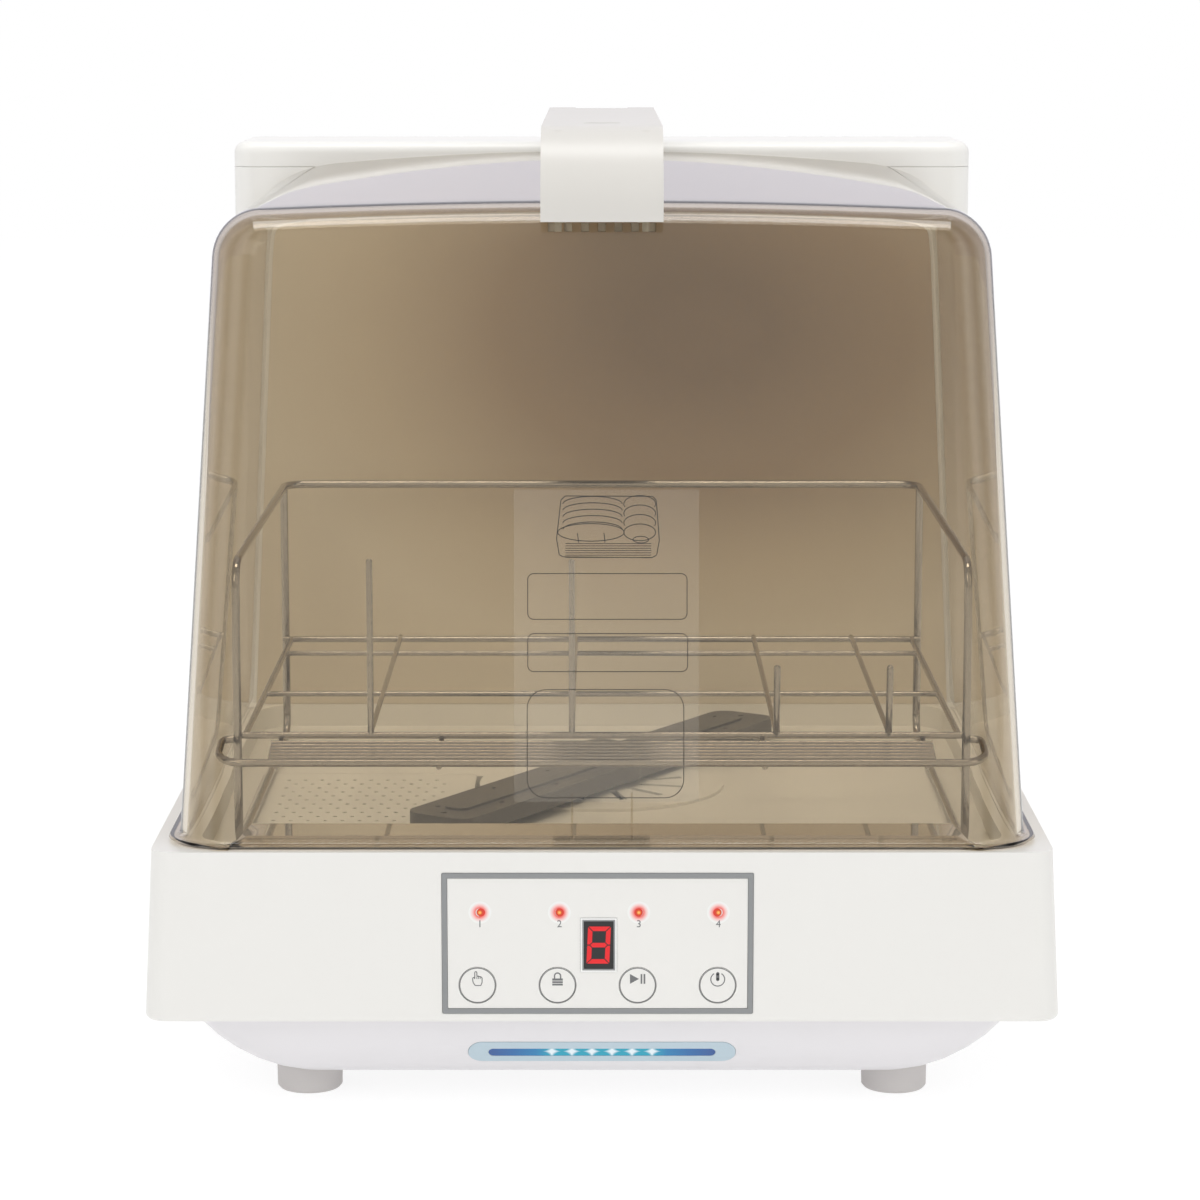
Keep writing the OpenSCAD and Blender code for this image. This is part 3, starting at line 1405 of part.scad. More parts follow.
// Studs that hold the arm down on the cover; their ends show under its roof
module handle_studs() {
    color("gray") for (p = stud_spots) translate([p[0], p[1], stud_low])
        cylinder(r = stud_r, h = stud_top - stud_low);
}

module cover_magnet() {
    color("darkgray") translate([magnet_x - 4, magnet_y - 5, z_arch + 0.9]) cube([8, 10, 5]);
}

// Clear label film on the outside of the front wall, printed with blank frames

module label_film() {
    color("lightgray", 0.4) translate([2, cover_front - 0.35, z_cover]) rotate([-lean_angle, 0, 0])
        translate([-film_w / 2, 0, film_z - film_h / 2]) cube([film_w, 0.25, film_h]);
}

// Seal in the deck under the cover's flange
module deck_seal() {
    w = 2 * flange_half_w - 6;
    d = cover_rear - flange_front - 4;
    y = (cover_rear + flange_front) / 2;
    color("dimgray") translate([0, y, z_deck]) difference() {
        plate(w, d, foot_corner_r - 2, seat_gap - 0.05);
        translate([0, 0, -1]) plate(w - 5, d - 5, foot_corner_r - 4.5, 3);
        translate([-w / 2 + 4, d / 2 - 10, -1]) cube([w - 8, 20, 3]);
    }
}

// Rack

// One bent wire: up the back posts, along the runners, up the front posts and round the rim
module rack_frame() {
    w = rack_half_w;
    route = [[-w, back_post_y, z_rim], [-w, back_post_y, z_runner], [-w, -rack_front, z_runner],
        [-w, -rack_front, z_rim], [-w, rack_back, z_rim], [w, rack_back, z_rim], [w, -rack_front, z_rim],
        [w, -rack_front, z_runner], [w, back_post_y, z_runner], [w, back_post_y, z_rim]];
    color("silver") wire(route, rail_r, same_bends(route, rim_bend));
}

// Dish rails at the floor of the rack
module rack_floor() {
    color("silver") {
        for (y = [front_rail_y, back_rail_y])
            rod([-rack_half_w - 1, y, z_rail], [rack_half_w + 1, y, z_rail], side_r);
        for (s = [-1, 1])
            rod([s * side_rail_x, front_rail_y, z_rail], [s * side_rail_x, back_rail_y, z_rail], side_r);
        for (y = cross_rails) rod([-side_rail_x, y, z_rail], [side_rail_x, y, z_rail], wire_r);
        for (x = concat(pin_spots, prong_spots))
            rod([x, front_rail_y, z_rail + wire_r], [x, back_rail_y, z_rail + wire_r], wire_r);
    }
}

// Shelf for chopsticks and spoons in front of the posts, drooping to the front
module rack_shelf() {
    x0 = rack_half_w + rail_r - weld;
    x1 = shelf_half_w;
    below = shelf_below;
    color("silver") translate([0, -rack_front, z_rail - shelf_sink]) rotate([shelf_slope, 0, 0]) {
        wire([[-x0, 0, 0], [-x1, 0, 0], [-x1, -shelf_out, 0], [x1, -shelf_out, 0], [x1, 0, 0], [x0, 0, 0]],
            shelf_rim_r, [4, shelf_bend, shelf_bend, 4]);
        for (t = [-1, -0.5, 0.5, 1]) rod([t * shelf_wire_x, shelf_tail, -below],
            [t * shelf_wire_x, -shelf_out, -below], wire_r);
        for (i = [0:shelf_wires - 1]) {
            y = -4 - i * (shelf_out - 9) / (shelf_wires - 1);
            rod([-shelf_wire_x - 4, y, 0], [shelf_wire_x + 4, y, 0], shelf_wire_r);
        }
    }
}

// Two tall pins and two short leaning prongs that keep dishes apart
module rack_pins() {
    color("silver") {
        for (x = pin_spots) {
            rod([x, front_rail_y, z_rail], [x, front_rail_y, z_rim], pin_r);
            translate([x, front_rail_y, z_rim]) sphere(r = pin_r, $fn = 24);
        }
        for (x = prong_spots) translate([x, front_rail_y, z_rail]) rotate([prong_lean, 0, 0]) {
            rod([0, 0, 0], [0, 0, prong_h], prong_r);
            translate([0, 0, prong_h]) sphere(r = prong_r, $fn = 24);
        }
    }
}

base_housing();
bottom_pan();
feet();
foot_screws();
pan_screws();
light_lens();
light_strip();
light_board();
control_panel();
panel_frame();
key_select();
key_lock();
key_start();
key_power();
digit_bezel();
digit_module();
digit_segments();
mode_lamps();
control_board();
key_switches();
board_screws();
wash_tub();
filter_screen();
hub_base();
spray_arm();
arm_cap();
sump();
heater();
wash_pump();
wash_impeller();
drain_pump();
drain_impeller();
pump_sleeves();
feed_hose();
drain_hose();
drain_spout();
fill_valve();
fill_hose();
power_board();
mains_inlet();
back_panel();
tank_body();
tank_lid();
float_stem();
tank_float();
reed_switch();
hinge_bracket();
bracket_screws();
hinge_pin();
deck_seal();
cover_shell();
handle_arm();
handle_studs();
cover_magnet();
label_film();
rack_frame();
rack_floor();
rack_shelf();
rack_pins();
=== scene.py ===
"""Dresses the packed countertop dishwasher: smoky cover, glossy housing, keypad, light bar, plated rack and studio."""

import json
import math

import bmesh
import bpy
from bpy.props import FloatProperty, FloatVectorProperty, PointerProperty
from mathutils import Matrix, Vector

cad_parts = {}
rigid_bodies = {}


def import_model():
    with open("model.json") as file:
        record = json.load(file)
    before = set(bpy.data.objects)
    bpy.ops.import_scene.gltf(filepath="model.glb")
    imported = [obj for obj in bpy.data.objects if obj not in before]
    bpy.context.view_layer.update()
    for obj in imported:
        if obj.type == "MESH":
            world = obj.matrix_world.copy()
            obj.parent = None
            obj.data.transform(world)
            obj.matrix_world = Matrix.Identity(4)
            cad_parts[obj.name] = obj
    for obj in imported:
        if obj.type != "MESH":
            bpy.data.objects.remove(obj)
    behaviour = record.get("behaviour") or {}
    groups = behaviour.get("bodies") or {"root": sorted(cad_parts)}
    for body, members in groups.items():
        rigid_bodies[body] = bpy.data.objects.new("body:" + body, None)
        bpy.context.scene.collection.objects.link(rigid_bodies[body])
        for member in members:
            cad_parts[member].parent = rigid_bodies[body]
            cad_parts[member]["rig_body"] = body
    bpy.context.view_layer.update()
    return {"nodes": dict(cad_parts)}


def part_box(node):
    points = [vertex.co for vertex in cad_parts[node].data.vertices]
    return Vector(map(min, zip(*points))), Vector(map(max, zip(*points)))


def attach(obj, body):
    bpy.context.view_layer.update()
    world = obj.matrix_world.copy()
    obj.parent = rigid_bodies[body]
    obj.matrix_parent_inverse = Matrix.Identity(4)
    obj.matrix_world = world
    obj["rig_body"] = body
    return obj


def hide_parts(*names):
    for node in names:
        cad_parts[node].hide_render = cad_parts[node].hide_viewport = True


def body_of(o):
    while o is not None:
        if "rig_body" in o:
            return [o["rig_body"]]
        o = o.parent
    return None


bl_info = {
    "name": "Countertop dishwasher",
    "version": (1, 0, 0),
    "blender": (4, 5, 0),
    "location": "3D View > Sidebar > Dishwasher",
    "description": "Builds the visible pieces of a countertop dishwasher around its packed solids",
    "category": "Object",
}

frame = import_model()
MM = 0.001


# Places read from the solids, in millimetres


def box_mm(node):
    """Lowest and highest corner of a solid, in millimetres."""
    low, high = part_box(node)
    return low / MM, high / MM


def middle_mm(node):
    """Middle of a solid's box, in millimetres."""
    low, high = box_mm(node)
    return (low + high) / 2


HOUSING_LOW, HOUSING_HIGH = box_mm("base_housing")
COVER_LOW, COVER_HIGH = box_mm("cover_shell")
PLATE_FRONT = box_mm("control_panel")[0].y


# Sizes and colours that a user would change


class CoverSizes(bpy.types.PropertyGroup):
    """Sizes of the smoky cover."""

    wall: FloatProperty(name="Wall", description="Thickness of the moulded wall", default=3.0 * MM, unit="LENGTH")
    foot_half: FloatProperty(
        name="Half width at the foot", description="Outside half width where the wall meets the flange",
        default=194.5 * MM, unit="LENGTH")
    foot_round: FloatProperty(
        name="Foot corner", description="Radius of the upright corners at the foot", default=24 * MM, unit="LENGTH")
    crown_round: FloatProperty(
        name="Crown round", description="Radius where the walls turn into the roof", default=23.5 * MM, unit="LENGTH")
    arch_round: FloatProperty(
        name="Arch round", description="How far the turn into the roof reaches in across the back edge",
        default=48 * MM, unit="LENGTH")
    brow_half: FloatProperty(
        name="Half width at the brow", description="Outside half width at the top of the front", default=178.5 * MM,
        unit="LENGTH")
    arch_half: FloatProperty(
        name="Half width at the arch", description="Outside half width at the top of the back edge",
        default=181 * MM, unit="LENGTH")
    lean: FloatProperty(
        name="Lean", description="How far the front wall leans back from foot to brow", default=29 * MM, unit="LENGTH")
    brow_height: FloatProperty(
        name="Brow height", description="Height of the front of the roof above the worktop", default=420 * MM,
        unit="LENGTH")
    brow_drop: FloatProperty(
        name="Brow drop", description="Drop of the brow from its middle to its shoulders", default=3.5 * MM,
        unit="LENGTH")
    arch_drop: FloatProperty(
        name="Arch drop", description="Drop of the back edge from its middle to its shoulders", default=6.4 * MM,
        unit="LENGTH")


class PrintSizes(bpy.types.PropertyGroup):
    """Sizes of what is printed on the keypad and on the film."""

    proud: FloatProperty(
        name="Ink height", description="How far the ink stands out", default=0.05 * MM, unit="LENGTH")
    icon_line: FloatProperty(name="Icon line", description="Width of an icon's line", default=0.42 * MM, unit="LENGTH")
    icon_rise: FloatProperty(
        name="Icon rise", description="How far an icon sits above its key's middle", default=3.0 * MM, unit="LENGTH")
    number_height: FloatProperty(
        name="Number height", description="Height of the numbers under the mode lamps", default=3.4 * MM,
        unit="LENGTH")
    film_line: FloatProperty(
        name="Film line", description="Width of the frames printed on the film", default=0.36 * MM, unit="LENGTH")


class FinishColours(bpy.types.PropertyGroup):
    """Colours of the finishes, as they are seen, before they are turned to linear."""

    housing: FloatVectorProperty(
        name="Housing", description="White ABS of the base", default=(0.9, 0.895, 0.88), size=3,
        subtype="COLOR_GAMMA")
    cream: FloatVectorProperty(
        name="Cream", description="Warm white ABS of tank and lid", default=(0.93, 0.925, 0.91), size=3,
        subtype="COLOR_GAMMA")
    handle: FloatVectorProperty(
        name="Handle", description="Cream ABS of the handle arm", default=(0.823, 0.812, 0.79), size=3,
        subtype="COLOR_GAMMA")
    smoke: FloatVectorProperty(
        name="Smoke", description="What one wall of the cover lets through", default=(0.915, 0.885, 0.826), size=3,
        subtype="COLOR_GAMMA")


class StudioSettings(bpy.types.PropertyGroup):
    """Place of the camera."""

    distance: FloatProperty(
        name="Distance", description="From the camera to the object's middle, level", default=1.8121, unit="LENGTH")
    height: FloatProperty(name="Height", description="Height of the camera", default=0.5101, unit="LENGTH")
    pitch: FloatProperty(
        name="Pitch", description="How far the camera looks down", default=math.radians(9.462), subtype="ANGLE")
    focal: FloatProperty(name="Focal length", description="Lens in millimetres", default=108.0)


# Nodes and colours


def linear(colour):
    """Turns an sRGB hex value or triple into a linear colour with alpha 1."""
    if isinstance(colour, str):
        colour = [int(colour.lstrip("#")[i:i + 2], 16) / 255 for i in (0, 2, 4)]
    return (*[c / 12.92 if c <= 0.04045 else ((c + 0.055) / 1.055) ** 2.4 for c in colour], 1.0)


def add(tree, kind, values=None, **settings):
    """Adds a node: settings are its properties, values its sockets as numbers, colours or links."""
    node = tree.nodes.new(kind)
    for name, value in settings.items():
        setattr(node, name, value)
    for key, value in (values or {}).items():
        if isinstance(value, bpy.types.NodeSocket):
            tree.links.new(value, node.inputs[key])
        else:
            node.inputs[key].default_value = value
    return node


def material(name, **principled):
    """A material with one Principled shader: returns material, tree and shader."""
    mat = bpy.data.materials.new(name)
    mat.use_nodes = True
    tree = mat.node_tree
    shader = tree.nodes["Principled BSDF"]
    for key, value in principled.items():
        shader.inputs[key.replace("_", " ").title().replace("Ior", "IOR")].default_value = value
    return mat, tree, shader


def ramp(tree, fac, stops):
    """A colour ramp over fac: stops are pairs of a position and a colour."""
    node = add(tree, "ShaderNodeValToRGB", {"Fac": fac})
    points = node.color_ramp.elements
    while len(points) < len(stops):
        points.new(0.5)
    for point, (place, colour) in zip(points, stops):
        point.position = place
        point.color = linear(colour) if isinstance(colour, str) else (*[colour] * 3, 1)
    return node.outputs["Color"]


def object_coords(tree):
    """The position on the object in metres, which moves with it."""
    return add(tree, "ShaderNodeTexCoord").outputs["Object"]


def noise(tree, coords, size_mm, detail=2.0, roughness=0.5):
    """Noise whose blobs are about size_mm across."""
    return add(tree, "ShaderNodeTexNoise",
               {"Vector": coords, "Scale": 1 / (size_mm * MM), "Detail": detail, "Roughness": roughness}).outputs["Fac"]


def bump(tree, shader, height, depth_mm, strength=1.0):
    """Sends a height to the shader's normal; depth_mm is its full depth."""
    node = add(tree, "ShaderNodeBump", {"Height": height, "Distance": depth_mm * MM, "Strength": strength})
    tree.links.new(node.outputs["Normal"], shader.inputs["Normal"])


# Materials


def moulded_plastic(name, colour, rough=0.3, grain_mm=0.9, depth_mm=0.004, tone=0.02, ior=1.53):
    """Injection moulded plastic: a satin skin with the faint orange peel of the tool and slow drifts of tone."""
    mat, tree, shader = material(name, ior=ior)
    coords = object_coords(tree)
    base = linear(colour)
    drift = noise(tree, coords, 60)
    deep = tuple(c * (1 - tone) for c in base[:3]) + (1,)
    mix = add(tree, "ShaderNodeMix", {0: drift, 6: deep, 7: base}, data_type="RGBA")
    tree.links.new(mix.outputs[2], shader.inputs["Base Color"])
    gloss = add(tree, "ShaderNodeMapRange", {0: noise(tree, coords, 14), 3: rough * 0.92, 4: rough * 1.08})
    tree.links.new(gloss.outputs[0], shader.inputs["Roughness"])
    bump(tree, shader, noise(tree, coords, grain_mm), depth_mm)
    return mat


def smoky_acrylic(name, tint):
    """Polished tinted styrene: brown glass with a glossy skin, darker where the eye looks along the wall."""
    mat, tree, shader = material(name, base_color=tint, roughness=0.02, ior=1.5, transmission_weight=1.0)
    out = tree.nodes["Material Output"]
    along = add(tree, "ShaderNodeLayerWeight", {"Blend": 0.35}).outputs["Facing"]
    deep = add(tree, "ShaderNodeMix", {0: along, 6: tint, 7: linear("#B5A795")}, data_type="RGBA")
    tree.links.new(deep.outputs[2], shader.inputs["Base Color"])
    through = tuple(math.sqrt(c) for c in tint[:3]) + (1,)
    path = add(tree, "ShaderNodeLightPath")
    clear = add(tree, "ShaderNodeBsdfTransparent", {"Color": through})
    mix = add(tree, "ShaderNodeMixShader",
              {0: path.outputs["Is Shadow Ray"], 1: shader.outputs[0], 2: clear.outputs[0]})
    tree.links.new(mix.outputs[0], out.inputs["Surface"])
    return mat


def plated_wire(name):
    """Chrome plated steel wire: a bright skin whose colour is darkened as painted reflection of the dark chamber, with
    soft drawing marks along it and slight clouding.
    """
    # painted reflection: the colour is darker and warmer than bare chrome, standing in for the dark brown chamber the
    # wire reflects
    mat, tree, shader = material(name, base_color=linear("#A8A39D"), metallic=1.0)
    coords = object_coords(tree)
    rough = add(tree, "ShaderNodeMapRange", {0: noise(tree, coords, 7), 3: 0.08, 4: 0.17})
    tree.links.new(rough.outputs[0], shader.inputs["Roughness"])
    bump(tree, shader, noise(tree, coords, 1.2), 0.01)
    return mat


def brushed_steel(name, colour="#B9B9B7"):
    """Turned or brushed stainless steel: fine lines drawn coarse enough to show."""
    mat, tree, shader = material(name, base_color=linear(colour), metallic=1.0, roughness=0.28)
    coords = object_coords(tree)
    stretch = add(tree, "ShaderNodeMapping", {"Vector": coords, "Scale": (0.06, 1, 1)})
    bump(tree, shader, noise(tree, stretch.outputs[0], 0.5), 0.01)
    return mat


def rubber(name, colour):
    """Moulded elastomer: matt, with a soft fine grain."""
    mat, tree, shader = material(name, base_color=linear(colour), roughness=0.62, ior=1.52)
    bump(tree, shader, noise(tree, object_coords(tree), 0.7), 0.02)
    return mat


def circuit_board(name):
    """Glass epoxy laminate under green solder resist, with the weave faint below it."""
    mat, tree, shader = material(name, roughness=0.35, ior=1.5)
    coords = object_coords(tree)
    weave = add(tree, "ShaderNodeTexWave", {"Vector": coords, "Scale": 400.0, "Distortion": 0.4})
    colour = ramp(tree, weave.outputs["Fac"], [(0.0, "#1B5A33"), (1.0, "#22683C")])
    tree.links.new(colour, shader.inputs["Base Color"])
    return mat


def printed_ink(name, colour):
    """Screen printed ink: a thin satin film of one tone."""
    mat, tree, shader = material(name, base_color=linear(colour), roughness=0.5)
    bump(tree, shader, noise(tree, object_coords(tree), 0.4), 0.004)
    return mat


def dark_of(colour, share=0.25):
    """The same colour with only a share of its light."""
    return (*[c * share for c in linear(colour)[:3]], 1.0)


def glow(name, colour, strength):
    """Diffused light behind coloured plastic."""
    mat, tree, shader = material(name, base_color=dark_of(colour), roughness=0.35,
                                 emission_color=linear(colour), emission_strength=strength)
    return mat


FINISH = {}


def finish(name, maker, *args, **settings):
    """Makes a material once and hands it out by name."""
    if name not in FINISH:
        FINISH[name] = maker(name, *args, **settings)
    return FINISH[name]


def colours():
    return bpy.context.scene.dishwasher_colours


def white_abs():
    return finish("abs_white_satin", moulded_plastic, tuple(colours().housing), rough=0.32)


def pan_abs():
    return finish("abs_cool_white_satin", moulded_plastic, "#E3E1E3", rough=0.36)


def cream_abs():
    return finish("abs_cream_satin", moulded_plastic, tuple(colours().cream), rough=0.34, tone=0.03)


def handle_abs():
    return finish("abs_cream_handle", moulded_plastic, tuple(colours().handle), rough=0.34, tone=0.03)


def back_wall_with_painted_shade(name):
    """Smoky brown back wall of the chamber with painted shade: deep in the middle, paler towards its sides, its top and
    its foot.
    """
    mat, tree, shader = material(name, roughness=0.32, ior=1.5)
    split = add(tree, "ShaderNodeSeparateXYZ", {0: object_coords(tree)})
    across = add(tree, "ShaderNodeMath", {0: split.outputs[0], 1: 55 * MM}, operation="SUBTRACT")
    across = add(tree, "ShaderNodeMath", {0: across.outputs[0], 1: 1 / (150 * MM)}, operation="MULTIPLY")
    up = add(tree, "ShaderNodeMath", {0: split.outputs[2], 1: 335 * MM}, operation="SUBTRACT")
    up = add(tree, "ShaderNodeMath", {0: up.outputs[0], 1: 1 / (110 * MM)}, operation="MULTIPLY")
    both = add(tree, "ShaderNodeCombineXYZ", {0: across.outputs[0], 2: up.outputs[0]})
    reach = add(tree, "ShaderNodeVectorMath", {0: both.outputs[0]}, operation="LENGTH").outputs["Value"]
    # painted shade: the wall is darkest in its middle and paler towards its sides, its top and its foot
    colour = ramp(tree, add(tree, "ShaderNodeMapRange", {0: reach, 1: 0.25, 2: 1.65}).outputs[0],
                  [(0.0, "#836F5A"), (0.35, "#9C8870"), (0.7, "#C2B49E"), (1.0, "#D6CCBA")])
    tree.links.new(colour, shader.inputs["Base Color"])
    bump(tree, shader, noise(tree, object_coords(tree), 1.4), 0.01)
    return mat


def tub_abs():
    return finish("pp_tub_white", moulded_plastic, "#E6E3DC", rough=0.42, grain_mm=1.4, depth_mm=0.01)


def dark_pp():
    return finish("pp_dark_grey", moulded_plastic, "#625F5B", rough=0.45, grain_mm=1.0, depth_mm=0.02)


def black_abs():
    return finish("abs_black", moulded_plastic, "#1C1C1E", rough=0.4, depth_mm=0.01)


# Making pieces


def place(name, bm, mats, body, slot, stands_for=(), smooth_deg=30.0):
    """Turns a bmesh in metres into a piece that rides on a body; edges sharper than smooth_deg stay crisp."""
    limit = math.radians(smooth_deg)
    for face in bm.faces:
        face.smooth = True
    for edge in bm.edges:
        edge.smooth = len(edge.link_faces) == 2 and edge.calc_face_angle(0.0) < limit
    mesh = bpy.data.meshes.new(name)
    bm.to_mesh(mesh)
    bm.free()
    obj = bpy.data.objects.new(name, mesh)
    bpy.context.scene.collection.objects.link(obj)
    for mat in mats:
        mesh.materials.append(mat)
    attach(obj, body)
    if stands_for:
        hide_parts(*stands_for)
    return obj


def bevelled(obj, width_mm, segments=2, angle_deg=35.0):
    """Rounds the sharp edges of a piece."""
    mod = obj.modifiers.new("edge round", "BEVEL")
    mod.width = width_mm * MM
    mod.segments = segments
    mod.limit_method = "ANGLE"
    mod.angle_limit = math.radians(angle_deg)
    mod.harden_normals = True
    return obj


def merged_copy(node):
    """A bmesh of a solid with its loose triangles joined and its flat faces made whole."""
    bm = bmesh.new()
    bm.from_mesh(frame["nodes"][node].data)
    bmesh.ops.remove_doubles(bm, verts=bm.verts, dist=0.002 * MM)
    bmesh.ops.dissolve_limit(bm, angle_limit=math.radians(0.3), verts=bm.verts, edges=bm.edges)
    return bm


def dressed(node, mat, slot, round_mm=0.0, segments=2, smooth_deg=30.0, cut_mm=None):
    """A smooth shaded stand-in for a solid, with its sharp edges rounded, and cut off level below cut_mm."""
    body = body_of(frame["nodes"][node])
    body = body if isinstance(body, str) else body[0]
    bm = merged_copy(node)
    if cut_mm:
        parts = bm.verts[:] + bm.edges[:] + bm.faces[:]
        cut = bmesh.ops.bisect_plane(bm, geom=parts, plane_co=(0, 0, cut_mm * MM), plane_no=(0, 0, -1),
                                     clear_outer=True)["geom_cut"]
        bmesh.ops.holes_fill(bm, edges=[e for e in cut if isinstance(e, bmesh.types.BMEdge)], sides=0)
    obj = place(node + "_skin", bm, [mat], body, slot, (node,), smooth_deg)
    if round_mm:
        bevelled(obj, round_mm, segments)
    return obj


def coat(node, mat):
    """Gives a solid that keeps its own mesh a material."""
    data = frame["nodes"][node]
    if data.material_slots:
        for s in data.material_slots:
            s.link = "OBJECT"
            s.material = mat
    else:
        data.data.materials.append(mat)


class BuildStep:
    """Shared settings of the operators below."""

    bl_options = {"REGISTER", "UNDO"}


# Cover


def crown_ring(sizes):
    """Stations round the cover from its left back edge to its right.

    Each holds the foot's centre, the crown's centre, the direction, the crown's height, its reach across and the
    angle at which it meets the roof.
    """
    foot_x = sizes.foot_half / MM - sizes.foot_round / MM
    foot_y = COVER_FRONT + sizes.foot_round / MM
    crown = sizes.crown_round / MM
    brow_half = sizes.brow_half / MM
    brow_top = sizes.brow_height / MM
    brow_drop = sizes.brow_drop / MM
    brow_y = COVER_FRONT + sizes.lean / MM + crown
    brow_x = brow_half - crown
    shoulder = brow_top - brow_drop - crown
    rear = COVER_HIGH.y

    def side(sign, t):
        """A station of a side wall, with t from 0 at the front corner to 1 at the back edge."""
        across = crown + t * (sizes.arch_round / MM - crown)
        edge = brow_half + t * (sizes.arch_half / MM - brow_half) - across
        drop = brow_drop + t * (sizes.arch_drop / MM - brow_drop)
        top = brow_top + t * (COVER_HIGH.z - brow_top) - drop
        end = math.pi / 2 - min(1.0, 4 * t) * math.atan2(2 * drop * across, edge * crown)
        return (sign * foot_x, foot_y + t * (rear - foot_y), sign * edge, brow_y + t * (rear - brow_y),
                90 - sign * 90, top - crown * math.sin(end), across, end)

    stations = [side(-1, 1 - k / SIDE_STEPS) for k in range(SIDE_STEPS)]
    for k in range(CORNER_STEPS):
        stations.append((-foot_x, foot_y, -brow_x, brow_y, 180 + 90 * k / CORNER_STEPS, shoulder, crown, math.pi / 2))
    for k in range(FRONT_STEPS):
        s = 2 * k / FRONT_STEPS - 1
        stations.append((s * foot_x, foot_y, s * brow_x, brow_y, 270.0, brow_top - brow_drop * s * s - crown, crown,
                         math.pi / 2))
    for k in range(CORNER_STEPS):
        stations.append((foot_x, foot_y, brow_x, brow_y, 270 + 90 * k / CORNER_STEPS, shoulder, crown, math.pi / 2))
    return stations + [side(1, k / SIDE_STEPS) for k in range(SIDE_STEPS + 1)]


COVER_FRONT = -213.0
HANDLE_LIP = 411.5
SIDE_STEPS = 26
CORNER_STEPS = 10
FRONT_STEPS = 40
WALL_ROWS = 12
CROWN_ROWS = 12
FLARE_STEPS = 4


def cover_point(station, row, sizes):
    """A point of the cover's outside: rows run from the flange's rim up the wall and over the crown."""
    fx, fy, cx, cy, turn, cz, across, end = station
    out = Vector((math.cos(math.radians(turn)), math.sin(math.radians(turn)), 0))
    foot_r = sizes.foot_round / MM
    crown_r = sizes.crown_round / MM
    side = abs(out.x)
    rim = 2.5 + (HOUSING_FLANGE - 2.5) * side
    flare = min(2.0, rim - 0.4)
    foot = Vector((fx, fy, COVER_LOW.z)) + out * foot_r
    wall = sizes.wall / MM
    if row == 0:
        return foot + out * rim + Vector((0, 0, wall - 1.1))
    if row == 1:
        return foot + out * (rim - 0.7) + Vector((0, 0, wall))
    if row <= 2 + FLARE_STEPS:
        a = math.radians(90 * (row - 2) / FLARE_STEPS)
        return foot + out * flare * (1 - math.sin(a)) + Vector((0, 0, wall + flare * (1 - math.cos(a))))
    reach = (foot - Vector((cx, cy, 0))).dot(out) * crown_r / across
    drop = cz - COVER_LOW.z
    start = math.acos(min(1.0, crown_r / math.hypot(reach, drop))) - math.atan2(drop, reach)
    row -= 2 + FLARE_STEPS
    centre = Vector((cx, cy, cz))
    top_of_wall = centre + out * across * math.cos(start) + Vector((0, 0, crown_r * math.sin(start)))
    if row <= WALL_ROWS:
        t = row / WALL_ROWS
        low = foot + Vector((0, 0, wall + flare))
        return low + (top_of_wall - low) * t
    a = start + (end - start) * (row - WALL_ROWS) / CROWN_ROWS
    return centre + out * across * math.cos(a) + Vector((0, 0, crown_r * math.sin(a)))


HOUSING_FLANGE = 5.5


def cover_skin(sizes):
    """The cover's outside as two grids: the walls with flange and crown, and the roof."""
    bm = bmesh.new()
    stations = crown_ring(sizes)
    rows = 2 + FLARE_STEPS + WALL_ROWS + CROWN_ROWS
    columns = len(stations) - 1
    walls = bmesh.ops.create_grid(bm, x_segments=columns, y_segments=rows, size=1)["verts"]
    for vert in walls:
        u = round((vert.co.x + 1) / 2 * columns)
        v = round((vert.co.y + 1) / 2 * rows)
        vert.co = cover_point(stations[u], v, sizes) * MM
    roof = bmesh.ops.create_grid(bm, x_segments=FRONT_STEPS, y_segments=SIDE_STEPS, size=1)["verts"]
    top = rows
    for vert in roof:
        s = vert.co.x
        v = round((vert.co.y + 1) / 2 * SIDE_STEPS)
        edge = cover_point(stations[columns - SIDE_STEPS + v], top, sizes)
        front = cover_point(stations[SIDE_STEPS + CORNER_STEPS + FRONT_STEPS // 2], top, sizes)
        crest = front.z + (COVER_HIGH.z - front.z) * v / SIDE_STEPS
        vert.co = Vector((s * edge.x, edge.y, crest + (edge.z - crest) * s * s)) * MM
    bmesh.ops.remove_doubles(bm, verts=bm.verts, dist=0.01 * MM)
    bmesh.ops.recalc_face_normals(bm, faces=bm.faces)
    if sum(f.normal.z * f.calc_area() for f in bm.faces) < 0:
        bmesh.ops.reverse_faces(bm, faces=bm.faces)
    return bm


class DISHWASHER_OT_cover(BuildStep, bpy.types.Operator):
    """Builds the smoky cover as one moulded wall with its flange"""

    bl_idname = "dishwasher.cover"
    bl_label = "Cover"

    def execute(self, context):
        sizes = context.scene.dishwasher_cover
        bm = cover_skin(sizes)
        mat = finish("ps_smoky_polished", smoky_acrylic, linear(tuple(colours().smoke)))
        obj = place("cover_moulding", bm, [mat], "cover", "smoky_cover", ("cover_shell",), 50)
        solid = obj.modifiers.new("wall", "SOLIDIFY")
        solid.thickness = sizes.wall
        solid.offset = -1
        solid.use_even_offset = True
        ribs = bmesh.new()
        lean = math.atan2(sizes.lean, sizes.brow_height - COVER_LOW.z * MM - sizes.crown_round)
        for x in (-13.6, 13.6):
            box = bmesh.ops.create_cube(ribs, size=1)["verts"]
            bmesh.ops.scale(ribs, vec=(1 * MM, 1.6 * MM, 21 * MM), verts=box)
            bmesh.ops.translate(ribs, vec=Vector((x, 3.4, 15.5)) * MM, verts=box)
        turn = Matrix.Translation(Vector((0, COVER_FRONT, COVER_LOW.z)) * MM) @ Matrix.Rotation(-lean, 4, "X")
        bmesh.ops.transform(ribs, matrix=turn, verts=ribs.verts)
        place("cover_ribs", ribs, [mat], "cover", "smoky_cover")
        return {"FINISHED"}


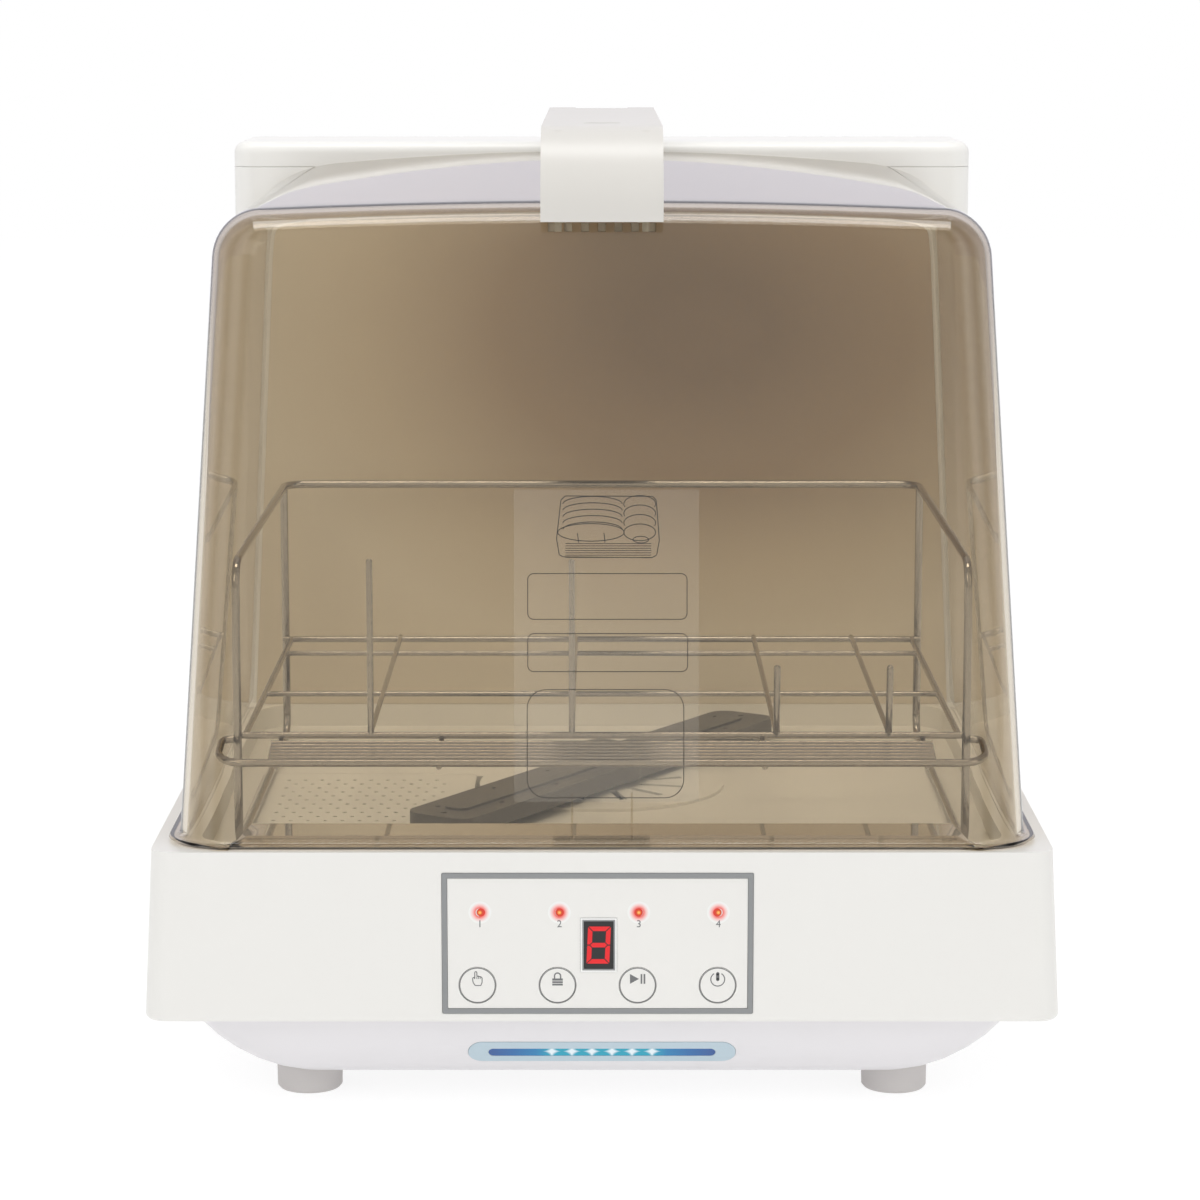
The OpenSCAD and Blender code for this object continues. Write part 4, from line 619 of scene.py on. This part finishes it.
class DISHWASHER_OT_handle(BuildStep, bpy.types.Operator):
    """Dresses the handle arm, its studs, the magnet and the hinge pin"""

    bl_idname = "dishwasher.handle"
    bl_label = "Handle arm and hinge"

    def execute(self, context):
        dressed("handle_arm", handle_abs(), "ivory_plastic", 0.9, 3, cut_mm=HANDLE_LIP)
        steel = finish("steel_stainless_turned", brushed_steel)
        for node in ("handle_studs", "hinge_pin"):
            dressed(node, steel, "steel", 0.2)
        coat("cover_magnet", finish("steel_zinc_plated", brushed_steel, "#A8A8AA"))
        return {"FINISHED"}


# Base, pan and tank


class DISHWASHER_OT_base(BuildStep, bpy.types.Operator):
    """Dresses the white housing, the dished pan and the feet"""

    bl_idname = "dishwasher.base"
    bl_label = "Base, pan and feet"

    def execute(self, context):
        dressed("base_housing", white_abs(), "white_housing", 0.5)
        dressed("bottom_pan", pan_abs(), "white_pan", 0.0)
        dressed("feet", finish("elastomer_pale_grey", rubber, "#CFCBC9"), "grey_rubber", 0.4)
        steel = finish("steel_stainless_turned", brushed_steel)
        for node in ("foot_screws", "pan_screws"):
            dressed(node, steel, "steel", 0.15)
        return {"FINISHED"}


class DISHWASHER_OT_tank(BuildStep, bpy.types.Operator):
    """Dresses the water tank, its lid, the float and the hinge bracket"""

    bl_idname = "dishwasher.tank"
    bl_label = "Water tank"

    def execute(self, context):
        for node, width in (("tank_body", 0.8), ("tank_lid", 1.2), ("hinge_bracket", 0.4), ("float_stem", 0.2),
                            ("tank_float", 0.4)):
            dressed(node, cream_abs(), "ivory_plastic", width)
        dressed("back_panel", finish("ps_smoky_back_wall", back_wall_with_painted_shade), "smoky_wall", 0.4)
        dressed("bracket_screws", finish("steel_stainless_turned", brushed_steel), "steel", 0.15)
        dressed("reed_switch", black_abs(), "dark_plastic", 0.2)
        dressed("deck_seal", finish("elastomer_pale_grey", rubber, "#CFCBC9"), "grey_rubber", 0.0)
        return {"FINISHED"}


# Wash chamber and rack


class DISHWASHER_OT_chamber(BuildStep, bpy.types.Operator):
    """Dresses the tub, filter sheet, spray arm and hub"""

    bl_idname = "dishwasher.chamber"
    bl_label = "Wash chamber"

    def execute(self, context):
        dressed("wash_tub", tub_abs(), "tub_plastic", 0.6)
        coat("filter_screen", tub_abs())
        dressed("spray_arm", dark_pp(), "arm_plastic", 0.5)
        dressed("hub_base", tub_abs(), "tub_plastic", 0.3)
        dressed("arm_cap", dark_pp(), "arm_plastic", 0.3)
        return {"FINISHED"}


class DISHWASHER_OT_rack(BuildStep, bpy.types.Operator):
    """Dresses the plated wire rack"""

    bl_idname = "dishwasher.rack"
    bl_label = "Wire rack"

    def execute(self, context):
        wire = finish("steel_wire_chromed", plated_wire)
        for node in ("rack_frame", "rack_floor", "rack_shelf", "rack_pins"):
            dressed(node, wire, "bright_wire", 0.0, smooth_deg=40)
        return {"FINISHED"}


class DISHWASHER_OT_inside(BuildStep, bpy.types.Operator):
    """Gives the pieces inside the base their materials"""

    bl_idname = "dishwasher.inside"
    bl_label = "Inside the base"

    def execute(self, context):
        steel = finish("steel_stainless_turned", brushed_steel)
        zinc = finish("steel_zinc_plated", brushed_steel, "#A8A8AA")
        hose = finish("epdm_black", rubber, "#242425")
        groups = {
            steel: ("heater", "board_screws"),
            zinc: ("wash_pump", "drain_pump", "fill_valve"),
            hose: ("pump_sleeves", "feed_hose", "drain_hose", "fill_hose"),
            black_abs(): ("sump", "wash_impeller", "drain_impeller", "key_switches"),
            finish("fr4_green", circuit_board): ("light_board", "control_board", "power_board"),
        }
        for mat, nodes in groups.items():
            for node in nodes:
                coat(node, mat)
        dressed("mains_inlet", black_abs(), "dark_plastic", 0.3)
        dressed("drain_spout", cream_abs(), "ivory_plastic", 0.3)
        return {"FINISHED"}


# Keypad


def flat_piece(name, draw, mat, body, slot, y, thick, stands_for=()):
    """Ink drawn by draw(bm) in the XZ plane, in millimetres, then given its thickness towards the front."""
    bm = bmesh.new()
    draw(bm)
    bmesh.ops.remove_doubles(bm, verts=bm.verts, dist=0.0005)
    faces = list(bm.faces)
    for face in faces:
        face.normal_update()
        if face.normal.y > 0:
            face.normal_flip()
    grown = bmesh.ops.extrude_face_region(bm, geom=faces, use_keep_orig=True)["geom"]
    lifted = [g for g in grown if isinstance(g, bmesh.types.BMVert)]
    bmesh.ops.translate(bm, verts=lifted, vec=(0, -thick / MM, 0))
    bmesh.ops.translate(bm, verts=bm.verts, vec=(0, y, 0))
    bmesh.ops.recalc_face_normals(bm, faces=bm.faces)
    bmesh.ops.scale(bm, verts=bm.verts, vec=(MM, MM, MM))
    return place(name, bm, [mat], body, slot, stands_for)


def add_ring(bm, x, z, r, width, start=0.0, end=360.0, steps=64):
    """A flat ring, or an arc of it, as a spun strip."""
    a = math.radians(start)
    inner = bm.verts.new((x + (r - width) * math.cos(a), 0, z + (r - width) * math.sin(a)))
    outer = bm.verts.new((x + r * math.cos(a), 0, z + r * math.sin(a)))
    edge = bm.edges.new((inner, outer))
    full = end - start >= 360
    bmesh.ops.spin(bm, geom=[inner, outer, edge], cent=(x, 0, z), axis=(0, -1, 0), dvec=(0, 0, 0),
                   angle=math.radians(end - start), steps=steps, use_merge=full, use_duplicate=False)


def add_bar(bm, x0, z0, x1, z1, width):
    """A straight bar with square ends."""
    d = Vector((x1 - x0, 0, z1 - z0))
    side = Vector((-d.z, 0, d.x)).normalized() * width / 2
    a, b = Vector((x0, 0, z0)), Vector((x1, 0, z1))
    bm.faces.new([bm.verts.new(p) for p in (a - side, b - side, b + side, a + side)])


def add_poly(bm, points):
    """A flat face through points (x, z)."""
    bm.faces.new([bm.verts.new((x, 0, z)) for x, z in points])


def draw_hand(bm, x, z, line):
    """A pointing hand: one long finger, three short ones, a thumb and a palm, as outlines."""
    path = [(-2.2, -0.6), (-2.2, 0.5), (-1.55, 0.75), (-1.25, 0.1), (-1.25, 3.1), (-0.75, 3.5), (-0.25, 3.1),
            (-0.25, 1.3), (0.45, 1.35), (0.95, 1.1), (1.55, 1.0), (2.1, 0.55), (2.1, -1.6), (1.5, -3.1),
            (-1.0, -3.1), (-1.9, -1.9), (-2.2, -0.6)]
    for (ax, az), (bx, bz) in zip(path, path[1:]):
        add_bar(bm, x + ax, z + az, x + bx, z + bz, line)
    for finger in (-0.25, 0.5, 1.25):
        add_bar(bm, x + finger, z + 1.2, x + finger, z + 0.0, line * 0.8)


def draw_padlock(bm, x, z, line):
    """A padlock: a body with two slots and a round shackle."""
    add_ring(bm, x, z + 1.4, 1.7, line * 1.5, 0, 180, 24)
    for s in (-1, 1):
        add_bar(bm, x + s * (1.7 - line * 0.75), z + 1.45, x + s * (1.7 - line * 0.75), z + 0.1, line * 1.5)
    for low, high in ((-0.8, 0.2), (-1.95, -1.1), (-3.1, -2.25)):
        add_bar(bm, x - 2.4, z + (low + high) / 2, x + 2.4, z + (low + high) / 2, high - low)


def draw_play_pause(bm, x, z, line):
    """A triangle and two bars."""
    add_poly(bm, [(x - 3.5, z - 2.3), (x + 0.6, z), (x - 3.5, z + 2.3)])
    for bar in (1.75, 3.1):
        add_bar(bm, x + bar, z - 2.3, x + bar, z + 2.3, 0.75)


def draw_power(bm, x, z, line):
    """A broken ring with a stroke in its gap."""
    add_ring(bm, x, z - 0.2, 3.4, line * 1.15, 122, 418, 48)
    add_bar(bm, x, z - 0.3, x, z + 2.5, 1.5)
    for end in (z - 0.3, z + 2.5):
        add_ring(bm, x, end, 0.75, 0.7499, steps=20)


def draw_digit(bm, x, z):
    """Seven slanted segments with mitred joints, as they light up to an eight."""
    a, b, c, gap = 5.2, 8.7, 2.1, 0.3
    top = [(gap - a, b), (a - gap, b), (a - c - gap, b - c), (c + gap - a, b - c)]
    side = [(-a, b - gap), (c - a, b - c - gap), (c - a, c / 2 + gap), (c / 2 - a, gap), (-a, gap)]
    middle = [(c / 2 - a + gap, 0), (c - a + gap, c / 2), (a - c - gap, c / 2), (a - c / 2 - gap, 0),
              (a - c - gap, -c / 2), (c - a + gap, -c / 2)]
    for shape in (top, side, middle):
        for sx in ((1,) if shape is not side else (1, -1)):
            for sz in ((1,) if shape is middle else (1, -1)):
                add_poly(bm, [(x + sx * px + 0.045 * sz * pz, z + sz * pz) for px, pz in shape])


class DISHWASHER_OT_keypad(BuildStep, bpy.types.Operator):
    """Dresses the panel and prints icons on the keys and numbers under the lamps"""

    bl_idname = "dishwasher.keypad"
    bl_label = "Keypad"

    def execute(self, context):
        sizes = context.scene.dishwasher_print
        line = sizes.icon_line / MM
        ink = finish("ink_grey", printed_ink, "#6E6F70")
        dressed("control_panel", white_abs(), "white_housing", 0.0)
        dressed("panel_frame", finish("abs_grey_satin", moulded_plastic, "#8B8D8E", rough=0.35), "frame_grey", 0.15)
        dressed("digit_bezel", finish("abs_grey_satin", moulded_plastic, "#8B8D8E", rough=0.35), "frame_grey", 0.15)
        dressed("digit_module", black_abs(), "dark_plastic", 0.1)
        low, high = box_mm("digit_segments")
        middle = (low + high) / 2
        flat_piece("digit_segments_lit", lambda bm: draw_digit(bm, middle.x, middle.z),
                   finish("led_segment_red", glow, "#DF1820", 0.85), "base", "red_light", high.y,
                   (high.y - low.y) * MM, ("digit_segments",))
        low, high = box_mm("digit_bezel")

        def mask(bm):
            for x in (low.x + 0.4, high.x - 0.4):
                add_bar(bm, x, low.z, x, high.z, 0.8)
            for z in (low.z + 0.4, high.z - 0.4):
                add_bar(bm, low.x + 0.8, z, high.x - 0.8, z, 0.8)

        flat_piece("digit_mask", mask, finish("ink_white", printed_ink, "#ECECEA"), "base", "white_housing", low.y,
                   sizes.proud)
        dressed("mode_lamps", finish("led_lamp_red", led_lamp), "red_light", 0.3)
        keys = {"key_select": draw_hand, "key_lock": draw_padlock, "key_start": draw_play_pause,
                "key_power": draw_power}
        for node, icon in keys.items():
            dressed(node, white_abs(), "white_housing", 0.25)
            low, high = box_mm(node)
            x, z = (low.x + high.x) / 2, (low.z + high.z) / 2
            rim = (HOUSING_KEY - 0.1)

            def draw(bm):
                add_ring(bm, x, z, rim, line)
                icon(bm, x, z + sizes.icon_rise / MM, line)

            flat_piece(node + "_print", draw, ink, node + "_body", "frame_grey", low.y, sizes.proud)
        low, high = box_mm("mode_lamps")
        pitch = (high.x - low.x - LAMP_WIDTH) / 3
        lamp_z = (low.z + high.z) / 2
        for k in range(4):
            number(str(k + 1), low.x + LAMP_WIDTH / 2 + k * pitch, lamp_z - 6.9, PLATE_FRONT, sizes, ink)
        halo = finish("panel_white_lit_red", lamp_halo, low.x + LAMP_WIDTH / 2, pitch, lamp_z)

        def rings(bm):
            for k in range(4):
                add_ring(bm, low.x + LAMP_WIDTH / 2 + k * pitch, lamp_z, 5.2, 5.2 - LAMP_WIDTH / 2 - 0.05)

        flat_piece("lamp_halos", rings, halo, "base", "white_housing", PLATE_FRONT, 0.02 * MM)
        return {"FINISHED"}


HOUSING_KEY = 8.4
LAMP_WIDTH = 3.8


def number(text, x, z, y, sizes, mat):
    """A plain printed number, made a mesh before it is placed."""
    curve = bpy.data.curves.new("mode_number_" + text, "FONT")
    curve.body = text
    curve.size = sizes.number_height * 1.4
    curve.align_x = "CENTER"
    curve.extrude = sizes.proud / 2
    holder = bpy.data.objects.new("holder", curve)
    bpy.context.scene.collection.objects.link(holder)
    bpy.context.view_layer.update()
    mesh = bpy.data.meshes.new_from_object(holder)
    bpy.data.objects.remove(holder)
    bm = bmesh.new()
    bm.from_mesh(mesh)
    bpy.data.meshes.remove(mesh)
    turn = Matrix.Translation(Vector((x, y - sizes.proud / MM / 2, z)) * MM) @ Matrix.Rotation(math.pi / 2, 4, "X")
    bmesh.ops.transform(bm, matrix=turn, verts=bm.verts)
    bmesh.ops.remove_doubles(bm, verts=bm.verts, dist=0.001 * MM)
    return place("mode_number_" + text, bm, [mat], "base", "frame_grey")


def lamp_distance(tree, x0, pitch, z0):
    """Distance in millimetres from the nearest lamp of the row."""
    split = add(tree, "ShaderNodeSeparateXYZ", {0: object_coords(tree)})
    along = add(tree, "ShaderNodeMath", {0: split.outputs[0], 1: (x0 - pitch / 2) * MM}, operation="SUBTRACT")
    cell = add(tree, "ShaderNodeMath", {0: along.outputs[0], 1: pitch * MM}, operation="MODULO")
    dx = add(tree, "ShaderNodeMath", {0: cell.outputs[0], 1: pitch * MM / 2}, operation="SUBTRACT")
    dz = add(tree, "ShaderNodeMath", {0: split.outputs[2], 1: z0 * MM}, operation="SUBTRACT")
    both = add(tree, "ShaderNodeCombineXYZ", {0: dx.outputs[0], 2: dz.outputs[0]})
    length = add(tree, "ShaderNodeVectorMath", {0: both.outputs[0]}, operation="LENGTH")
    return add(tree, "ShaderNodeMath", {0: length.outputs["Value"], 1: 1000.0}, operation="MULTIPLY").outputs[0]


def lamp_halo(name, x0, pitch, z0):
    """The panel's white plastic round a lamp, tinged by its red light."""
    mat, tree, shader = material(name, roughness=0.32, ior=1.53)
    far = add(tree, "ShaderNodeMapRange", {0: lamp_distance(tree, x0, pitch, z0), 1: LAMP_WIDTH / 2, 2: 4.5})
    colour = ramp(tree, far.outputs[0],
                  [(0.0, "#E4574F"), (0.25, "#EE8A86"), (0.6, "#EFC6C3"), (1.0, "#EAEAE8")])
    tree.links.new(colour, shader.inputs["Base Color"])
    return mat


def led_lamp(name):
    """A red indicator lamp: amber at its hot middle, deep red at its rim."""
    mat, tree, shader = material(name, roughness=0.2, ior=1.5, emission_strength=0.9)
    low, high = box_mm("mode_lamps")
    pitch = (high.x - low.x - LAMP_WIDTH) / 3
    distance = lamp_distance(tree, low.x + LAMP_WIDTH / 2, pitch, (low.z + high.z) / 2)
    far = add(tree, "ShaderNodeMapRange", {0: distance, 1: 0.0, 2: LAMP_WIDTH / 2})
    colour = ramp(tree, far.outputs[0], [(0.0, "#FFE28C"), (0.25, "#F9AE45"), (0.55, "#C6471F"), (1.0, "#CF3226")])
    shader.inputs["Base Color"].default_value = dark_of("#A02018", 0.4)
    tree.links.new(colour, shader.inputs["Emission Color"])
    return mat


# Light bar


def lit_strip(name):
    """Blue diffuser over six white lamps, each with a star of light: teal between them, deep blue at both ends."""
    mat, tree, shader = material(name, roughness=0.25, ior=1.5, emission_strength=0.8)
    low, high = box_mm("light_strip")
    split = add(tree, "ShaderNodeSeparateXYZ", {0: object_coords(tree)})
    reach = add(tree, "ShaderNodeMath", {0: split.outputs[0]}, operation="ABSOLUTE")
    ends = add(tree, "ShaderNodeMapRange", {0: reach.outputs[0], 1: 24 * MM, 2: 52 * MM})
    blue = ramp(tree, ends.outputs[0], [(0.0, "#1FA5BB"), (0.22, "#2A7FB2"), (0.6, "#2F66A4"), (1.0, "#3A4F8E")])
    shifted = add(tree, "ShaderNodeMath", {0: split.outputs[0], 1: BAR_PITCH * MM * 3}, operation="ADD")
    cell = add(tree, "ShaderNodeMath", {0: shifted.outputs[0], 1: BAR_PITCH * MM}, operation="MODULO")
    arms = []
    for source, middle, half in ((cell, BAR_PITCH / 2, 2.9), (split, (low.z + high.z) / 2, (high.z - low.z) * 0.62)):
        off = add(tree, "ShaderNodeMath", {0: source.outputs[2 if source is split else 0], 1: middle * MM},
                  operation="SUBTRACT")
        off = add(tree, "ShaderNodeMath", {0: off.outputs[0]}, operation="ABSOLUTE")
        off = add(tree, "ShaderNodeMath", {0: off.outputs[0], 1: half * MM}, operation="DIVIDE")
        arms.append(add(tree, "ShaderNodeMath", {0: off.outputs[0], 1: 0.62}, operation="POWER").outputs[0])
    star = add(tree, "ShaderNodeMath", {0: arms[0], 1: arms[1]}, operation="ADD")
    spot = add(tree, "ShaderNodeMapRange", {0: star.outputs[0], 1: 0.8, 2: 1.35, 3: 1.0, 4: 0.0})
    inside = add(tree, "ShaderNodeMath", {0: reach.outputs[0], 1: BAR_PITCH * MM * 3}, operation="LESS_THAN")
    lit = add(tree, "ShaderNodeMath", {0: spot.outputs[0], 1: inside.outputs[0]}, operation="MULTIPLY")
    mix = add(tree, "ShaderNodeMix", {0: lit.outputs[0], 6: blue, 7: linear("#F8FFFF")}, data_type="RGBA")
    shader.inputs["Base Color"].default_value = dark_of("#2A6F9F")
    tree.links.new(mix.outputs[2], shader.inputs["Emission Color"])
    return mat


BAR_PITCH = 9.3


class DISHWASHER_OT_light_bar(BuildStep, bpy.types.Operator):
    """Lights the bar in the sloping front of the pan"""

    bl_idname = "dishwasher.light_bar"
    bl_label = "Light bar"

    def execute(self, context):
        dressed("light_lens", finish("pc_lens_pale_blue", moulded_plastic, "#B9CBD5", rough=0.25), "blue_lens", 0.1)
        dressed("light_strip", finish("pc_strip_lit_blue", lit_strip), "blue_light", 0.0)
        return {"FINISHED"}


# Film


def clear_film(name):
    """Clear polyester film: nearly invisible, a little whiter than the wall behind it."""
    mat, tree, shader = material(name, base_color=linear("#EDEFF4"), roughness=0.12, ior=1.5, alpha=0.038)
    return mat


def add_oval(bm, x, z, rx, rz, line, start=0, end=360, steps=28):
    """An oval, or a part of it, as a line."""
    turns = [math.radians(start + (end - start) * k / steps) for k in range(steps + 1)]
    points = [(x + rx * math.cos(a), z + rz * math.sin(a)) for a in turns]
    for (ax, az), (bx, bz) in zip(points, points[1:]):
        add_bar(bm, ax, az, bx, bz, line)


def add_frame(bm, x0, z0, x1, z1, r, line):
    """A rectangle with round corners as a line."""
    for x, z, start in ((x1 - r, z1 - r, 0), (x0 + r, z1 - r, 90), (x0 + r, z0 + r, 180), (x1 - r, z0 + r, 270)):
        add_ring(bm, x, z, r + line / 2, line, start, start + 90, 10)
    for z in (z0, z1):
        add_bar(bm, x0 + r, z, x1 - r, z, line)
    for x in (x0, x1):
        add_bar(bm, x, z0 + r, x, z1 - r, line)


def draw_rack_picture(bm, line):
    """A small line drawing of the rack: rim, shelf and rows of rounded outlines."""
    rim = ((-22.6, 48.8), (-20.6, 66.4), (-18.6, 68.2), (21.0, 68.0), (22.6, 66.2), (24.0, 48.0))
    legs = ((-22.6, 48.8), (-21.4, 41.6), (-19.6, 40.6), (20.6, 40.2), (22.8, 41.4), (24.0, 48.0))
    for path in (rim, legs):
        for (ax, az), (bx, bz) in zip(path, path[1:]):
            add_bar(bm, ax, az, bx, bz, line)
    for k in range(7):
        add_bar(bm, -18.6, 40.3 + k * 1.05, 20.3, 40.3 + k * 1.05, line * 0.8)
    for k in range(5):
        add_oval(bm, -6.3, 64.6 - 2.9 * k, 13.4, 3.4, line, 0, 180)
    add_oval(bm, -7.0, 51.7, 15.1, 4.0, line)
    for k in range(4):
        add_oval(bm, 15.1, 64.6 - 4.3 * k, 7.2, 3.8, line, *((-20, 200) if k < 3 else (0, 360)))
    add_oval(bm, 15.6, 48.4, 3.5, 1.5, line)
    for x in (-12.6, -0.6):
        add_bar(bm, x, 47.0, x - 0.5, 51.4, line)


class DISHWASHER_OT_film(BuildStep, bpy.types.Operator):
    """Dresses the clear film on the cover's front and prints its empty frames"""

    bl_idname = "dishwasher.film"
    bl_label = "Film"

    def execute(self, context):
        sizes = context.scene.dishwasher_print
        line = sizes.film_line / MM
        dressed("label_film", finish("pet_film_clear", clear_film), "clear_film", 0.0)
        low, high = box_mm("label_film")
        lean = math.atan2(high.y - low.y - 0.3, high.z - low.z)

        def draw(bm):
            add_frame(bm, -35.7, 12.2, 36.6, 33.0, 2.8, line)
            add_frame(bm, -35.7, -11.6, 36.9, 5.7, 2.8, line)
            add_frame(bm, -36.0, -69.2, 35.2, -19.8, 8.5, line)
            draw_rack_picture(bm, line)
            middle = Vector(((low.x + high.x) / 2, (low.y + high.y) / 2 - 0.16, (low.z + high.z) / 2))
            turn = Matrix.Translation(middle) @ Matrix.Rotation(-lean, 4, "X")
            bmesh.ops.transform(bm, matrix=turn, verts=bm.verts)

        ink = finish("ink_dark_grey", printed_ink, "#3C3B3A")
        flat_piece("film_print", draw, ink, "cover", "frame_grey", 0.0, sizes.proud)
        return {"FINISHED"}


# Studio


def studio_floor(name):
    """Pale floor that keeps the soft shadow and is white wherever the eye or a mirror sees it."""
    mat, tree, shader = material(name, base_color=linear("#8A8A8A"), roughness=1.0, specular_ior_level=0.0)
    out = tree.nodes["Material Output"]
    white = add(tree, "ShaderNodeEmission", {"Color": (1, 1, 1, 1), "Strength": 0.82})
    lit = add(tree, "ShaderNodeAddShader", {0: shader.outputs[0], 1: white.outputs[0]})
    path = add(tree, "ShaderNodeLightPath")
    seen = add(tree, "ShaderNodeMath", {0: path.outputs["Is Camera Ray"], 1: path.outputs["Is Glossy Ray"]},
               operation="MAXIMUM")
    seen = add(tree, "ShaderNodeMath", {0: seen.outputs[0], 1: path.outputs["Is Transmission Ray"]},
               operation="MAXIMUM")
    plain = add(tree, "ShaderNodeBsdfDiffuse", {"Color": linear("#E4E4E4")})
    bounce = add(tree, "ShaderNodeEmission", {"Color": (1, 1, 1, 1), "Strength": 0.3})
    paper = add(tree, "ShaderNodeAddShader", {0: plain.outputs[0], 1: bounce.outputs[0]})
    mix = add(tree, "ShaderNodeMixShader", {0: seen.outputs[0], 1: paper.outputs[0], 2: lit.outputs[0]})
    tree.links.new(mix.outputs[0], out.inputs["Surface"])
    return mat


def studio_screens(tree):
    """What mirrors see of the room: upright white screens with grey gaps, cooler behind the object."""
    way = add(tree, "ShaderNodeSeparateXYZ", {0: add(tree, "ShaderNodeTexCoord").outputs["Generated"]})
    side = add(tree, "ShaderNodeMath", {0: way.outputs[0]}, operation="ABSOLUTE")
    ahead = add(tree, "ShaderNodeMath", {0: way.outputs[1], 1: -1.0}, operation="MULTIPLY")
    turn = add(tree, "ShaderNodeMath", {0: side.outputs[0], 1: ahead.outputs[0]}, operation="ARCTAN2")
    turn = add(tree, "ShaderNodeMath", {0: turn.outputs[0], 1: 1 / math.pi}, operation="MULTIPLY")
    return ramp(tree, turn.outputs[0],
                [(0.0, "#F6F4F2"), (0.1, "#F6F4F2"), (0.16, "#85817E"), (0.22, "#8E8A86"), (0.27, "#FFFFFF"),
                 (0.36, "#F4F2F0"), (0.41, "#7D7A78"), (0.47, "#A09C9A"), (0.53, "#F4F2F4"), (0.64, "#DAD8DC"),
                 (0.7, "#A8A5A8"), (0.78, "#E9E7EE"), (1.0, "#F1EFF7")])


class DISHWASHER_OT_studio(BuildStep, bpy.types.Operator):
    """Sets up the floor, the lamps, the world and the camera"""

    bl_idname = "dishwasher.studio"
    bl_label = "Studio"

    def execute(self, context):
        scene = context.scene
        s = scene.dishwasher_studio
        bm = bmesh.new()
        bmesh.ops.create_grid(bm, x_segments=1, y_segments=1, size=6)
        mesh = bpy.data.meshes.new("floor")
        bm.to_mesh(mesh)
        bm.free()
        floor = bpy.data.objects.new("floor", mesh)
        scene.collection.objects.link(floor)
        mesh.materials.append(studio_floor("studio_floor"))

        world = bpy.data.worlds.new("studio_air")
        scene.world = world
        world.use_nodes = True
        tree = world.node_tree
        tree.nodes.clear()
        path = add(tree, "ShaderNodeLightPath")
        mirrored = add(tree, "ShaderNodeMath", {0: path.outputs["Is Glossy Ray"], 1: path.outputs["Is Transmission Ray"]},
                       operation="MAXIMUM")
        white = add(tree, "ShaderNodeBackground", {"Color": (1, 1, 1, 1), "Strength": 1.0})
        dim = add(tree, "ShaderNodeBackground", {"Color": (1, 1, 1, 1), "Strength": 0.72})
        room = add(tree, "ShaderNodeBackground", {"Color": studio_screens(tree), "Strength": 1.0})
        mix = add(tree, "ShaderNodeMixShader", {0: mirrored.outputs[0], 1: dim.outputs[0], 2: room.outputs[0]})
        mix = add(tree, "ShaderNodeMixShader", {0: path.outputs["Is Camera Ray"], 1: mix.outputs[0], 2: white.outputs[0]})
        add(tree, "ShaderNodeOutputWorld", {"Surface": mix.outputs[0]})

        lamps = (("key", (-1.3, -1.9, 1.7), (1.4, 1.4), 11.0), ("fill", (1.6, -1.6, 1.2), (1.6, 1.6), 7.0),
                 ("top", (0.0, -0.2, 2.1), (1.3, 0.6), 12.0))
        for name, spot, size, power in lamps:
            data = bpy.data.lights.new(name, "AREA")
            data.shape = "RECTANGLE"
            data.size, data.size_y = size
            data.energy = power
            lamp = bpy.data.objects.new(name, data)
            scene.collection.objects.link(lamp)
            lamp.location = spot
            aim = Vector((0, 0, 0.2)) - Vector(spot)
            lamp.rotation_euler = aim.to_track_quat("-Z", "Y").to_euler()
            lamp.visible_glossy = name == "top"

        data = bpy.data.cameras.new("camera")
        data.lens = s.focal
        data.sensor_width = 36
        camera = bpy.data.objects.new("camera", data)
        scene.collection.objects.link(camera)
        camera.location = (-0.0009, -s.distance, s.height)
        camera.rotation_euler = (math.pi / 2 - s.pitch, 0, 0)
        scene.camera = camera
        scene.view_settings.view_transform = "Standard"
        return {"FINISHED"}


class DISHWASHER_PT_panel(bpy.types.Panel):
    """Lists the build steps and the sizes"""

    bl_idname = "DISHWASHER_PT_panel"
    bl_label = "Countertop dishwasher"
    bl_space_type = "VIEW_3D"
    bl_region_type = "UI"
    bl_category = "Dishwasher"

    def draw(self, context):
        layout = self.layout
        for step in STEPS:
            layout.operator(step.bl_idname)
        for pointer, group in GROUPS.items():
            section = layout.box()
            section.label(text=group.__doc__)
            for name in group.__annotations__:
                section.prop(getattr(context.scene, pointer), name)


GROUPS = {
    "dishwasher_cover": CoverSizes,
    "dishwasher_print": PrintSizes,
    "dishwasher_colours": FinishColours,
    "dishwasher_studio": StudioSettings,
}
STEPS = (
    DISHWASHER_OT_studio,
    DISHWASHER_OT_cover,
    DISHWASHER_OT_handle,
    DISHWASHER_OT_base,
    DISHWASHER_OT_tank,
    DISHWASHER_OT_chamber,
    DISHWASHER_OT_rack,
    DISHWASHER_OT_inside,
    DISHWASHER_OT_keypad,
    DISHWASHER_OT_light_bar,
    DISHWASHER_OT_film,
)


def register():
    for group in GROUPS.values():
        bpy.utils.register_class(group)
    for pointer, group in GROUPS.items():
        setattr(bpy.types.Scene, pointer, PointerProperty(type=group))
    for step in STEPS:
        bpy.utils.register_class(step)
    bpy.utils.register_class(DISHWASHER_PT_panel)


def unregister():
    bpy.utils.unregister_class(DISHWASHER_PT_panel)
    for step in reversed(STEPS):
        bpy.utils.unregister_class(step)
    for pointer in GROUPS:
        delattr(bpy.types.Scene, pointer)
    for group in reversed(list(GROUPS.values())):
        bpy.utils.unregister_class(group)


def main():
    """Registers the steps and runs them in order."""
    register()
    for step in STEPS:
        area, name = step.bl_idname.split(".")
        getattr(getattr(bpy.ops, area), name)()


if __name__ == "__main__":
    main()
